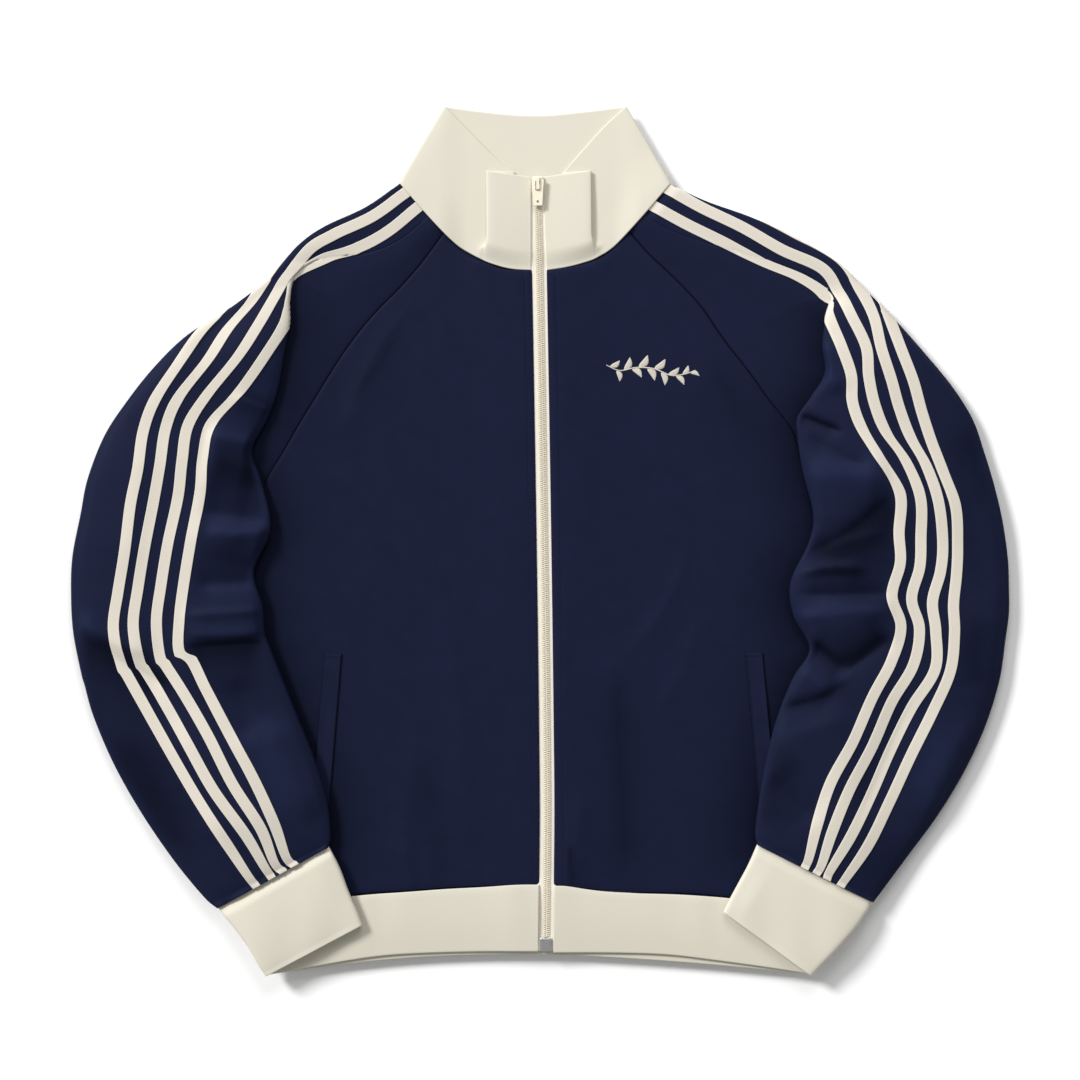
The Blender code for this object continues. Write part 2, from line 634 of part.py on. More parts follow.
def make_zip_strips():
    on_hem = np.linspace(HEM_BOTTOM_Y + 0.5, -285, 4)
    on_body = np.linspace(-240, 231, 10)
    ys = np.concatenate([on_hem, on_body, (240, 250, 280, 308)])
    for name, way in (("zip_tape_right", -1), ("zip_tape_left", 1)):
        inner = zip_x(ys) + way * 0.3
        outer = inner + way * ZIP_TAPE_WIDTH
        z = zip_z(ys)
        strip = np.stack([np.stack([inner, ys, z], 1), np.stack([outer, ys, z], 1)], axis=1)
        cloth(name, tape_cream, strip, ZIP_TAPE_WALL)
    ys = np.concatenate([(HEM_BOTTOM_Y + 12.5, -300, -285), on_body, (240, 250, 280, SLIDER_Y - 8.5)])
    z = zip_z(ys) + ZIP_TAPE_WALL / 2 + LAYER_GAP + COIL_HEIGHT / 2
    sides = [np.stack([zip_x(ys) + way * COIL_WIDTH / 2, ys, z], 1) for way in (-1, 1)]
    cloth("zip_coil", tape_cream, np.stack(sides, axis=1), COIL_HEIGHT)


def block(name, material, size, centre, round_edges):
    shell = bmesh.new()
    bmesh.ops.create_cube(shell, size=1.0)
    for vertex in shell.verts:
        vertex.co = [side * MM * at for side, at in zip(size, vertex.co)]
    mesh = bpy.data.meshes.new(name)
    shell.to_mesh(mesh)
    shell.free()
    obj = add_object(name, mesh, material)
    obj.location = [at * MM for at in centre]
    bevel = obj.modifiers.new("Rounded", "BEVEL")
    bevel.width = round_edges * MM
    bevel.segments = 2
    return obj


def rounded(corners, radius, steps=3):
    """The outline through those corners with each one rounded off; corners turn by a right angle or so."""
    corners = np.array(corners, float)
    before = unit(np.roll(corners, 1, axis=0) - corners) * radius
    after = unit(np.roll(corners, -1, axis=0) - corners) * radius
    t = np.linspace(0, 1, steps + 1)[None, :, None]
    bend = corners[:, None] + before[:, None] * (1 - t) ** 2 + after[:, None] * t**2
    return bend.reshape(-1, 2)


def plate(name, material, outlines, thickness):
    """A flat plate in its own XY plane: the first outline, with the others as holes."""
    curve = bpy.data.curves.new(name, "CURVE")
    curve.dimensions = "2D"
    curve.fill_mode = "BOTH"
    curve.extrude = thickness / 2 * MM
    for outline in outlines:
        spline = curve.splines.new("POLY")
        spline.points.add(len(outline) - 1)
        for point, (x, y) in zip(spline.points, outline):
            point.co = (x * MM, y * MM, 0, 1)
        spline.use_cyclic_u = True
    drawn = bpy.data.objects.new(name + "_outline", curve)
    jacket.objects.link(drawn)
    bpy.context.view_layer.update()
    evaluated = drawn.evaluated_get(bpy.context.evaluated_depsgraph_get())
    mesh = bpy.data.meshes.new_from_object(evaluated)
    bpy.data.objects.remove(drawn)
    shell = bmesh.new()
    shell.from_mesh(mesh)
    bmesh.ops.remove_doubles(shell, verts=shell.verts, dist=1e-6)
    bmesh.ops.recalc_face_normals(shell, faces=shell.faces)
    shell.to_mesh(mesh)
    shell.free()
    mesh.name = name
    mesh.materials.clear()
    return add_object(name, mesh, material)


def make_slider():
    """The slider's body with its crown, a standing loop that the pull's bar hangs in."""
    x = float(zip_x(SLIDER_Y))
    slider = block("zip_slider", tape_cream, SLIDER_SIZE, (x, SLIDER_Y, SLIDER_Z), 0.9)
    outer = rounded([(-5.2, -2.4), (6.6, -2.4), (6.6, 2.3), (-5.2, 2.3)], 1.4)
    hole = rounded([(-3.6, -1.3), (5.0, -1.3), (5.0, 1.3), (-3.6, 1.3)], 0.6)
    crown = plate("crown", tape_cream, [outer, hole], CROWN_THICKNESS)
    crown.rotation_euler = (math.pi / 2, 0, math.pi / 2)
    crown.location = (x * MM, SLIDER_Y * MM, HINGE_Z * MM)
    crown.hide_render = True
    crown.display_type = "WIRE"
    join = slider.modifiers.new("Crown", "BOOLEAN")
    join.operation = "UNION"
    join.object = crown


def make_pull():
    """The tab lies down the zip from its bar; its origin is on the axis that it turns about."""
    outline = rounded([(-5.2, 0.8), (-3.8, -21.5), (3.8, -21.5), (5.2, 0.8)], 0.7)
    window = rounded([(-2.1, -9.0), (2.1, -9.0), (2.1, -0.8), (-2.1, -0.8)], 0.5)
    turn = np.linspace(0, 2 * math.pi, 12, endpoint=False)
    eye = np.stack([1.1 * np.cos(turn), 1.1 * np.sin(turn) - 18.2], axis=1)
    pull = plate("zip_pull", tape_cream, [outline, window, eye], PULL_THICKNESS)
    pull.location = (float(zip_x(SLIDER_Y)) * MM, HINGE_Y * MM, HINGE_Z * MM)


def make_zip():
    make_zip_strips()
    make_slider()
    make_pull()
    box_y = HEM_BOTTOM_Y + 6.0
    block("zip_box", silver, (9.5, 11.0, 3.2), (float(zip_x(box_y)), box_y, 5.1), 0.6)


def build():
    make_back()
    make_fronts()
    make_welts()
    make_sleeves()
    make_cuffs()
    make_hem()
    make_collar()
    make_zip()


for old in list(bpy.data.objects):
    bpy.data.objects.remove(old)
jacket = bpy.data.collections.new("track_jacket")
bpy.context.scene.collection.children.link(jacket)
navy = finish("navy_tricot", NAVY, 0.75)
cream = finish("cream_rib", CREAM, 0.85)
tape_cream = finish("cream_tape", TAPE_CREAM, 0.8)
silver = finish("silver_metal", SILVER, 0.3, 1.0)
build()
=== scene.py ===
"""Looks of a zipped track jacket laid flat on its back: cloth, tapes, ribs, zip, stitching and a sprig.

Sizes in the tables are millimetres. +X is the wearer's left, +Y runs from the hem to the collar, +Z is up.
"""

import math
from collections import namedtuple

import bpy
import numpy as np
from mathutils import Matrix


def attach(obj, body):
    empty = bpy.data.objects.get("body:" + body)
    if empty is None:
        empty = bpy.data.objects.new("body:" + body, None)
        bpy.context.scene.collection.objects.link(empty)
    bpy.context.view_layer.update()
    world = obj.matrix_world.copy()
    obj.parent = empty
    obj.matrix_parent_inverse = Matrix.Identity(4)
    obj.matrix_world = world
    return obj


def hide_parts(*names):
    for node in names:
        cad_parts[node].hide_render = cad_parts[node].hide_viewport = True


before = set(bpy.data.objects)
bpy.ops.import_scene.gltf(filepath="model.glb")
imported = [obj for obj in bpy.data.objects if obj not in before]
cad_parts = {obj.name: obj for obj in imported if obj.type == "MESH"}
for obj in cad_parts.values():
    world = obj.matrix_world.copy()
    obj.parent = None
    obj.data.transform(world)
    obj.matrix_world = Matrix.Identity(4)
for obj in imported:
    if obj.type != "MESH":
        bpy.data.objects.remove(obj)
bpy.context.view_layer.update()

bl_info = {
    "name": "Track jacket laid flat",
    "version": (1, 0, 0),
    "blender": (4, 5, 0),
    "location": "View3D > Sidebar > Jacket",
    "description": "Sews a full-zip track jacket with raglan sleeves, tapes and ribs, and lays it flat",
    "category": "Mesh",
}

MM = 0.001
BODY = "jacket"
UV_NAME = "cloth"
# The attribute that holds the shade and highlight painted into the cloth's colour
PAINTED_SHADE_NAME = "painted_shade"

# ------------------------------------------------------------------ tables of sizes, in millimetres

# One section across a sleeve. The seam is where its front edge is sewn to the body, inner its fold beside
# the body, outer its outline. rise is the top layer over the bottom one, fold how much of a full fold is
# turned in under inner, from 0 to 1, and lift its height over the body. tape1 to tape4 are how far each
# tape's middle lies in from the outline, and a minus sign puts it round the back.
Section = namedtuple(
    "Section", "seam_x seam_y inner_x inner_y outer_x outer_y rise fold lift tape1 tape2 tape3 tape4"
)

# Past the armpit the sleeve is a closed tube, whose seam lies under it, seam_in from the inner edge.
Tube = namedtuple("Tube", "inner_x inner_y outer_x outer_y rise seam_in tape1 tape2 tape3 tape4")

RIGHT_RAGLAN = [
    Section(-81.9, 262.8, -93.9, 275.8, -118.2, 303.6, 2.6, 0.0, 2.6, 25, 9, -9, -27),
    Section(-101, 237, -122, 254, -148, 283, 3.0, 0.0, 2.6, 28, 10, -8, -26),
    Section(-120, 215, -153, 243, -184, 266, 3.4, 0.0, 2.6, 32, 11, -7, -25),
    Section(-136, 199, -184, 240, -206, 250, 3.6, 0.0, 2.6, 25, 10, -6, -24),
    Section(-152, 181, -207, 227, -229, 224, 3.8, 0.3, 2.5, 24, 16, -2, -20),
    Section(-167, 161, -213, 206, -262, 198, 4.0, 0.8, 2.4, 51, 36, 16, -6),
    Section(-180, 141, -213, 184, -300, 174, 4.2, 1.0, 2.3, 84, 61, 35, 11),
    Section(-193, 120, -217, 160, -328, 147, 4.4, 1.0, 2.1, 97, 73, 47, 22),
    Section(-207, 97, -223, 127, -352, 117, 4.6, 1.0, 1.4, 97, 70, 46, 26),
    Section(-219, 76, -232, 103, -371, 88, 4.6, 1.0, 0.2, 93, 73, 54, 35),
    Section(-229, 60, -245, 76, -385, 52, 4.6, 1.0, 0.0, 101, 83, 64, 45),
    Section(-236, 47, -237, 50, -391, 22, 4.6, 1.0, 0.0, 105, 86, 65, 45),
]
RIGHT_TUBE = [
    Tube(-229, 10, -398, -15, 4.6, 16, 104, 84, 64, 47),
    Tube(-243, -26, -399, -50, 4.6, 16, 99, 79, 59, 42),
    Tube(-236, -55, -397, -80, 4.6, 16, 93, 73, 53, 36),
    Tube(-234, -78, -390.5, -113, 4.6, 16, 87, 70, 52, 36),
    Tube(-231.0, -87, -387.4, -124, 4.6, 16, 95, 73, 54.5, 38.5),
    Tube(-222, -110, -380, -150, 4.6, 16, 100, 81, 62, 45),
    Tube(-208, -145, -363, -190, 4.4, 16, 103, 86, 67, 50),
    Tube(-192, -185, -340, -231, 4.2, 16, 102, 84, 67, 51),
    Tube(-181, -222, -312, -272, 4.0, 16, 93, 81, 67, 49),
    Tube(-178, -250, -286, -303, 3.8, 16, 79, 68, 59, 43),
    Tube(-180, -261, -274, -313, 3.4, 16, 76, 65, 54, 39),
]
LEFT_RAGLAN = [
    Section(75.7, 263.6, 87.7, 276.6, 109.2, 302.8, 2.6, 0.0, 2.6, 23, 4, -14, -32),
    Section(93, 244, 116, 262, 141, 288, 3.0, 0.0, 2.6, 26, 7, -11, -29),
    Section(110, 228, 152, 250, 180, 274, 3.4, 0.0, 2.6, 32, 12, -6, -24),
    Section(127, 211, 195, 238, 216, 257, 3.6, 0.0, 2.6, 34, 15, -3, -21),
    Section(140, 196, 230, 225, 252, 236, 3.8, 0.0, 2.6, 33, 13, -4, -22),
    Section(152, 178, 247, 209, 276, 213, 4.0, 0.0, 2.4, 34, 22, 4, -12),
    Section(163, 163, 243, 190, 300, 189, 4.2, 1.0, 2.3, 55, 36, 17, 4),
    Section(175, 148, 240, 165, 326, 160, 4.4, 1.0, 2.3, 71, 50, 37, 20),
    Section(186, 133, 242, 142, 350, 131, 4.6, 1.0, 1.8, 87, 72, 53, 34),
    Section(196, 119, 230, 121, 368, 103, 4.6, 1.0, 0.6, 104, 85, 64, 45),
    Section(206, 107, 219, 104, 378, 75, 4.6, 1.0, 0.0, 107, 86, 65, 47),
    Section(216, 93, 219, 88, 386, 48, 4.6, 1.0, 1.0, 103, 78, 60, 46),
    Section(229, 64, 223, 60, 393, 18, 4.6, 1.0, 1.7, 91, 73, 57, 42),
]
LEFT_TUBE = [
    Tube(232, 22, 398, -15, 4.6, 28, 96, 77, 58, 45),
    Tube(228, -3, 399, -40, 4.6, 28, 96, 79, 61, 47),
    Tube(213, -35, 399, -62, 4.6, 30, 102, 85, 67, 49),
    Tube(215, -63, 396, -85, 4.6, 30, 91, 75, 61, 45),
    Tube(229, -92, 391, -119, 4.6, 26, 95, 76, 57, 44),
    Tube(215, -117, 379, -158, 4.6, 26, 101, 84, 66, 48),
    Tube(201, -152, 361, -197, 4.4, 22, 100, 83, 67, 49),
    Tube(192, -188, 338, -235, 4.2, 18, 97, 80, 61, 44),
    Tube(186, -222, 312, -270, 4.0, 16, 83, 69, 53, 36),
    Tube(183, -248, 290, -299, 3.8, 16, 69, 57, 48, 33),
    Tube(185, -259, 283, -308, 3.4, 16, 66, 55, 45, 32),
]

# A cuff from its seam to its edge: inner and outer corners.
CuffRow = namedtuple("CuffRow", "inner_x inner_y outer_x outer_y")
RIGHT_CUFF = [
    CuffRow(-180.4, -259.3, -274.3, -311.2),
    CuffRow(-171, -277, -259, -329),
    CuffRow(-163, -298, -247, -345),
    CuffRow(-156, -314, -238, -361),
    CuffRow(-151, -327, -232, -370),
]
LEFT_CUFF = [
    CuffRow(185.5, -257.3, 283.3, -306.0),
    CuffRow(177, -276, 270, -326),
    CuffRow(169, -291, 256, -342),
    CuffRow(162, -304, 241, -358),
    CuffRow(156, -316, 230, -370),
]

# Seams of the body, from the hem upwards, and across it from the zip outwards.
SeamPoint = namedtuple("SeamPoint", "x y")
RIGHT_SIDE = [SeamPoint(-234, -312), SeamPoint(-237, -200), SeamPoint(-239, -100), SeamPoint(-249, 0)]
LEFT_SIDE = [SeamPoint(238, -312), SeamPoint(239, -200), SeamPoint(238, -100), SeamPoint(236, 0)]
RIGHT_UNDERARM = [SeamPoint(-245, 30)]
LEFT_UNDERARM = [SeamPoint(233, 34), SeamPoint(226, 66)]
RIGHT_NECK = [SeamPoint(-30, 231), SeamPoint(-45, 236), SeamPoint(-58, 241), SeamPoint(-70, 249)]
LEFT_NECK = [SeamPoint(26, 233), SeamPoint(45, 238), SeamPoint(59, 246)]
NECK_AT_ZIP = 230.5
RIGHT_HEM_SEAM = [SeamPoint(0, -294), SeamPoint(-47, -295), SeamPoint(-80, -296.5), SeamPoint(-112, -299),
                  SeamPoint(-158, -302), SeamPoint(-234, -312)]
LEFT_HEM_SEAM = [SeamPoint(0, -295), SeamPoint(40, -297), SeamPoint(67, -300), SeamPoint(118, -301),
                 SeamPoint(159, -304), SeamPoint(238, -312)]
RIGHT_HEM_EDGE = [SeamPoint(0, -350), SeamPoint(-47, -350), SeamPoint(-91, -351), SeamPoint(-131, -353),
                  SeamPoint(-166, -358), SeamPoint(-230, -370)]
LEFT_HEM_EDGE = [SeamPoint(0, -351), SeamPoint(50, -351), SeamPoint(105, -352), SeamPoint(145, -357),
                 SeamPoint(204, -365), SeamPoint(233, -370)]

# The collar band, as lines across it from neck seam to top edge. layer counts the layers under the line.
CollarLine = namedtuple("CollarLine", "seam_x seam_y edge_x edge_y layer")
RIGHT_COLLAR = [
    CollarLine(-8, 229.6, -8, 309, 1.6),
    CollarLine(-26, 230.4, -27, 311.5, 2.4),
    CollarLine(-44, 236, -45, 314, 3),
    CollarLine(-49, 238.4, -45, 314, 2),
    CollarLine(-53, 240.4, -22, 313, 2),
    CollarLine(-57, 242.4, -22, 313, 1),
    CollarLine(-72, 251, -38, 325, 1),
    CollarLine(-96, 276, -62, 350, 1),
    CollarLine(-120, 304, -81, 369, 1),
    CollarLine(-120, 304, -81, 369, 0),
    CollarLine(-66, 278, -45, 364, 0),
]
COLLAR_BACK = CollarLine(-3, 280, -3, 360.5, 0)
LEFT_COLLAR = [
    CollarLine(6, 229.6, 3, 309, 1.6),
    CollarLine(25, 232.4, 22, 311.5, 2.4),
    CollarLine(44, 238, 43, 314, 3),
    CollarLine(49, 240.6, 43, 314, 2),
    CollarLine(53, 242.8, 20, 313, 2),
    CollarLine(57, 245, 20, 313, 1),
    CollarLine(66, 252, 32, 327, 1),
    CollarLine(89, 277, 54, 352, 1),
    CollarLine(111, 303, 73, 369, 1),
    CollarLine(111, 303, 73, 369, 0),
    CollarLine(60, 279, 40, 365, 0),
]
PLEAT_LINES = (3, 4, 5)
PLEAT_STARTS = 0.22

# The zip along y, and its tapes' inner and outer edge from the middle line
ZIP_TAPE_ENDS = (-349.5, 308)
ZIP_TAPE_EDGES = (0.3, 11.3)
COIL_ENDS = (-337.0, 295.0)

# A crease runs from one end to the other, bowed sideways in its middle. near and far are its widths on its
# left and on its right, and a minus height is a trough.
Crease = namedtuple("Crease", "x0 y0 x1 y1 bow near far height")
BODY_CREASES = [
    Crease(-60, -285, -75, -60, 0, 22, 22, 1.8),
    Crease(-120, -290, -105, -160, 0, 16, 16, 1.3),
    Crease(70, -290, 60, -90, 0, 24, 24, 2.0),
    Crease(28, -295, 34, -215, 0, 12, 12, 1.6),
    Crease(-92, -300, -97, -262, 0, 5, 7, 0.9),
    Crease(-108, -301, -116, -255, 0, 6, 8, 1.1),
    Crease(128, 190, 180, 80, 0, 18, 18, 1.6),
    Crease(-130, 170, -170, 90, 0, 18, 18, 1.4),
    Crease(-106, 206, -160, 118, 4, 5, 14, 1.2),
    Crease(124, -14, 76, -96, -6, 12, 6, 1.1),
    Crease(136, -60, 98, -150, -6, 16, 8, 1.0),
    Crease(86, 214, 124, 150, 0, 8, 12, 0.9),
    Crease(-16, 226, -62, 236, 3, 5, 7, 0.7),
    Crease(20, -60, 27, -180, 4, 9, 9, 0.9),
]
RIGHT_SLEEVE_CREASES = [
    Crease(-262, 122, -224, 108, 0, 4, 10, 2.2),
    Crease(-282, 88, -240, 80, 0, 12, 44, 5.5),
    Crease(-288, 24, -228, 15, 0, 24, 6, -3.6),
    Crease(-282, 6, -228, 9, 2, 5, 15, 4.0),
    Crease(-292, -38, -238, -35, 0, 16, 9, -3.6),
    Crease(-302, -64, -234, -60, 0, 4, 7, 2.6),
    Crease(-300, -80, -232, -77, 2, 14, 7, 3.4),
    Crease(-398, -66, -330, -96, 4, 14, 10, 2.6),
    Crease(-300, -91, -232, -87, 0, 4, 26, -2.6),
    Crease(-390, -84, -310, -128, 0, 8, 24, -3.0),
    Crease(-352, -30, -334, 92, 0, 22, 26, 2.0),
    Crease(-392, -110, -318, -258, 6, 16, 26, -3.4),
    Crease(-306, -150, -262, -262, 0, 20, 20, 3.0),
    Crease(-232, -150, -192, -236, 0, 16, 18, 3.4),
    Crease(-256, -118, -246, -170, 0, 12, 16, -2.0),
    Crease(-300, 152, -262, 196, 0, 10, 14, -2.0),
]
LEFT_SLEEVE_CREASES = [
    Crease(217, 108, 256, 92, 0, 3, 8, -3.6),
    Crease(228, 88, 280, 62, 3, 10, 8, -3.0),
    Crease(224, 56, 294, 52, 0, 18, 20, 5.0),
    Crease(222, -13, 298, 38, 6, 9, 26, -4.2),
    Crease(240, -8, 292, 8, 0, 9, 9, 2.4),
    Crease(219, -28, 276, -24, -3, 4, 8, 4.4),
    Crease(220, -46, 296, -46, 0, 10, 8, -4.0),
    Crease(216, -66, 296, -60, 0, 12, 14, 5.0),
    Crease(230, -88, 262, -112, 0, 6, 12, -5.4),
    Crease(258, -112, 298, -82, 0, 12, 7, -5.0),
    Crease(214, -104, 246, -132, 0, 9, 14, 3.2),
    Crease(204, -142, 262, -120, 4, 6, 14, -3.4),
    Crease(198, -172, 262, -148, 0, 16, 20, 2.6),
    Crease(196, -200, 232, -240, 0, 16, 16, -2.2),
    Crease(356, 92, 378, -60, 0, 22, 22, -2.4),
    Crease(364, -150, 322, -240, 0, 16, 20, 3.2),
    Crease(318, -130, 268, -240, 0, 16, 16, -2.0),
    Crease(236, 168, 252, 124, 0, 10, 12, 3.2),
]

# Painted shade, in the same terms as a crease: its height is how much darker the cloth is painted, up to 1,
# and a minus height paints a highlight.
BODY_PAINTED_SHADES = [
    Crease(72, -292, 64, -110, 0, 16, 12, 0.45),
    Crease(27, -295, 25, -258, 0, 2, 3, 0.85),
    Crease(-118, 178, -158, 118, 0, 4, 9, 0.4),
    Crease(-84, -292, -98, -180, 0, 12, 12, 0.25),
    Crease(148, 150, 172, 96, 0, 10, 12, 0.3),
]
RIGHT_SLEEVE_PAINTED_SHADES = [
    Crease(-280, 68, -230, 50, 0, 14, 24, 0.95),
    Crease(-288, 16, -230, 11, 0, 6, 10, -0.35),
    Crease(-262, 128, -226, 113, 0, 3, 6, 0.75),
    Crease(-292, -8, -238, -18, 0, 10, 10, 0.45),
    Crease(-288, -42, -236, -38, 0, 8, 8, -0.3),
    Crease(-300, -62, -234, -60, 0, 3, 4, 0.5),
    Crease(-304, -90, -232, -86, 0, 3, 32, 1.15),
    Crease(-390, -80, -308, -130, 0, 12, 26, 1.15),
    Crease(-388, -62, -372, -100, 0, 6, 4, -0.4),
    Crease(-356, -160, -296, -270, 0, 24, 34, 0.75),
    Crease(-248, -140, -200, -250, 0, 20, 18, -0.45),
    Crease(-292, 170, -272, 120, 0, 12, 12, 0.3),
]
LEFT_SLEEVE_PAINTED_SHADES = [
    Crease(218, 106, 258, 92, 0, 2, 5, 0.9),
    Crease(228, 82, 276, 66, 3, 4, 10, 0.4),
    Crease(226, 58, 292, 48, 0, 16, 16, -0.5),
    Crease(226, -16, 300, 40, 7, 9, 34, 1.25),
    Crease(216, -22, 276, -20, 2, 3, 5, 0.85),
    Crease(220, -34, 268, -32, 0, 3, 4, -0.35),
    Crease(222, -43, 292, -52, 0, 3, 8, 0.55),
    Crease(218, -72, 286, -68, 0, 10, 10, -0.4),
    Crease(227, -84, 260, -113, 0, 5, 9, 0.95),
    Crease(256, -112, 298, -84, 0, 18, 8, 0.9),
    Crease(200, -141, 264, -122, 3, 3, 14, 0.65),
    Crease(210, -176, 192, -246, 0, 22, 20, 0.55),
    Crease(370, -66, 366, -128, 0, 14, 14, 0.5),
    Crease(362, 96, 378, 24, 0, 12, 12, 0.4),
    Crease(352, -160, 300, -262, 0, 24, 24, -0.35),
    Crease(236, 176, 250, 118, 0, 8, 10, -0.3),
]

# Pocket welts: the upper end and the way each runs down, with its width and length.
Welt = namedtuple("Welt", "x y lean width length")
WELTS = {"right": Welt(-176, -97, -10.5, 15, 128), "left": Welt(182, -96, 12.0, 15, 128)}

# Heights of the middle surfaces, and how far some of them rise or sink
BACK_Z = 0.6
FRONT_Z = 2.1
FRONT_AT_ZIP_Z = 3.4
RIB_BACK_Z = 0.9
RIB_FRONT_Z = 3.4
RIB_AT_ZIP_Z = 4.4
SLEEVE_OVER_BODY = 7.2
TURNED_UNDER = 7.0  # how far a full fold of the sleeve is turned in under its inner edge
SLEEVE_CROWN = 6.5  # how much fuller the arm is than its sections
HIGH_Z = 19.0  # above this a fold rises at half its height
NECK_DROP = 1.6  # how far a sleeve's end dips under the collar
CUFF_RISE = 3.6
CUFF_SUNK = 2.2  # how far a cuff's seam dips under the sleeve's end
HEM_OVER_SEAM = 1.3  # how far the hem's corners at the zip reach over their seam
COLLAR_STEP = 1.75  # from one layer of the collar to the next
OVER_SHOULDER = 3.0  # how far the collar's front layer rises onto the sleeves
TAPE_GAP = 0.06  # between a sleeve and the tape on it
WELT_THREAD_Z = 1.68  # a welt's stitches over the front
SEAM_GAP = 0.5

# Points of the grids
CURVE_STEPS = 24  # between two points of an edge or a stem
SPLINE_STEPS = 8  # between two knots of a section's spline
TURN_KNOT = 3
INNER_KNOT = 5
OUTER_KNOT = 11
ROWS_PER_SECTION = 11
SLEEVE_COLUMNS = (14, 10, 84, 34)  # to the turned fold, the inner edge, the outline and the back seam
FRONT_GRID = (190, 84)
BACK_GRID = (120, 96)
WELT_GRID = (90, 15)
TAPE_COLUMNS = 9
CUFF_STEPS = 12
CUFF_COLUMNS = 150
HEM_GRID = (26, 620)
COLLAR_STEPS = 10

# How far the painted shade beside a sleeve's inner fold reaches, under the sleeve and on the left front
SHADE_REACH = 22.0
LEFT_SHADE_REACH = 28.0
ON_RIDGE = -0.42  # the least painted shade: a painted highlight on an open ridge

# The coil and the rows of small parts: sides round each, and stations along it
RING = 6
STATIONS = 5


# ------------------------------------------------------------------ settings

LENGTH = {"unit": "LENGTH", "subtype": "DISTANCE"}
COLOUR = {"subtype": "COLOR", "size": 3, "min": 0, "max": 1}


class JacketSizes(bpy.types.PropertyGroup):
    """Sizes of the cloth, tapes, ribs and zip."""

    cloth_wall: bpy.props.FloatProperty(
        name="Cloth", description="Thickness of the tricot", default=0.0009, **LENGTH
    )
    rib_wall: bpy.props.FloatProperty(
        name="Rib", description="Thickness of the double rib", default=0.0016, **LENGTH
    )
    tape_wall: bpy.props.FloatProperty(
        name="Tape", description="Thickness of a sleeve tape", default=0.0007, **LENGTH
    )
    tape_width: bpy.props.FloatProperty(
        name="Tape width", description="Width of a sleeve tape", default=0.0095, **LENGTH
    )
    zip_opening: bpy.props.FloatProperty(
        name="Zip opening", description="Half the space between the fronts", default=0.0062, **LENGTH
    )
    tooth_pitch: bpy.props.FloatProperty(
        name="Tooth pitch", description="From one tooth of the coil to the next", default=0.0016, **LENGTH
    )
    stitch_length: bpy.props.FloatProperty(
        name="Stitch", description="Length of one topstitch", default=0.0024, **LENGTH
    )


class JacketColours(bpy.types.PropertyGroup):
    """Colours of the cloth and of its trims."""

    navy: bpy.props.FloatVectorProperty(
        name="Cloth", description="Tricot", default=(0.0088, 0.0118, 0.0335), **COLOUR
    )
    cream: bpy.props.FloatVectorProperty(
        name="Rib", description="Collar, cuffs and hem", default=(0.655, 0.622, 0.522), **COLOUR
    )
    tape: bpy.props.FloatVectorProperty(
        name="Tape", description="Sleeve tapes and satin thread", default=(0.645, 0.600, 0.520), **COLOUR
    )
    # Brighter than the ribs' cream: partly the coil's own colour, partly painted light against the shade
    # round the zip
    zip_cream: bpy.props.FloatVectorProperty(
        name="Zip", description="Coil, slider and pull", default=(0.82, 0.76, 0.61), **COLOUR
    )


def sizes():
    """The sizes kept on the scene."""
    return bpy.context.scene.jacket_sizes


def colours():
    """The colours kept on the scene."""
    return bpy.context.scene.jacket_colours


# ------------------------------------------------------------------ curves and grids


def smooth_step(low, high, value):
    """t squared times (3 - 2 t), with t running from 0 at low to 1 at high."""
    t = np.clip((value - low) / (high - low), 0, 1)
    return t * t * (3 - 2 * t)


def between(rows, steps):
    """Catmull-Rom curve through the rows, with that many steps from each to the next."""
    rows = np.asarray(rows, float)
    ends = np.concatenate([rows[:1] * 2 - rows[1:2], rows, rows[-1:] * 2 - rows[-2:-1]])
    at = np.linspace(0, len(rows) - 1, steps * (len(rows) - 1) + 1)
    i = np.minimum(at.astype(int), len(rows) - 2)
    t = (at - i).reshape(-1, *[1] * (rows.ndim - 1))
    first, second, third, fourth = ends[i], ends[i + 1], ends[i + 2], ends[i + 3]
    return 0.5 * (
        2 * second
        + (third - first) * t
        + (2 * first - 5 * second + 4 * third - fourth) * t**2
        + (3 * second - first - 3 * third + fourth) * t**3
    )


def unit(vectors):
    """Each vector over its own length."""
    return vectors / np.maximum(np.linalg.norm(vectors, axis=-1, keepdims=True), 1e-12)


def arc(points, axis):
    """Length along the grid from its first line, summed from the steps between its points."""
    steps = np.linalg.norm(np.diff(points, axis=axis), axis=-1)
    start = np.zeros_like(np.take(steps, [0], axis=axis))
    return np.concatenate([start, np.cumsum(steps, axis=axis)], axis=axis)


def along_curve(points, fractions):
    """Points at those fractions of the length of the Catmull-Rom curve through the given ones."""
    dense = between(points, CURVE_STEPS)
    length = arc(dense, 0)
    wanted = np.asarray(fractions) * length[-1]
    return np.stack([np.interp(wanted, length, column) for column in dense.T], axis=-1)


def across_spline(polygon, steps=SPLINE_STEPS):
    """Quadratic B-spline over [section, corner, 3]: 0.5 (1-t)^2 a + (0.5 + t - t^2) b + 0.5 t^2 c."""
    corners = polygon.shape[1]
    padded = np.concatenate([polygon[:, :1], polygon, polygon[:, -1:]], axis=1)
    knots = np.linspace(0, corners, steps * corners + 1)
    i = np.minimum(knots.astype(int), corners - 1)
    t = (knots - i)[None, :, None]
    before, at, after = padded[:, i], padded[:, i + 1], padded[:, i + 2]
    return 0.5 * (1 - t) ** 2 * before + (0.5 + t - t * t) * at + 0.5 * t * t * after


def at_lengths(dense, lengths, wanted):
    """Row by row, the points of dense at the wanted lengths; each row is one interpolation."""
    rows = []
    for row, known, wants in zip(dense, lengths, wanted):
        rows.append(np.stack([np.interp(wants, known, column) for column in row.T], axis=-1))
    return np.array(rows)


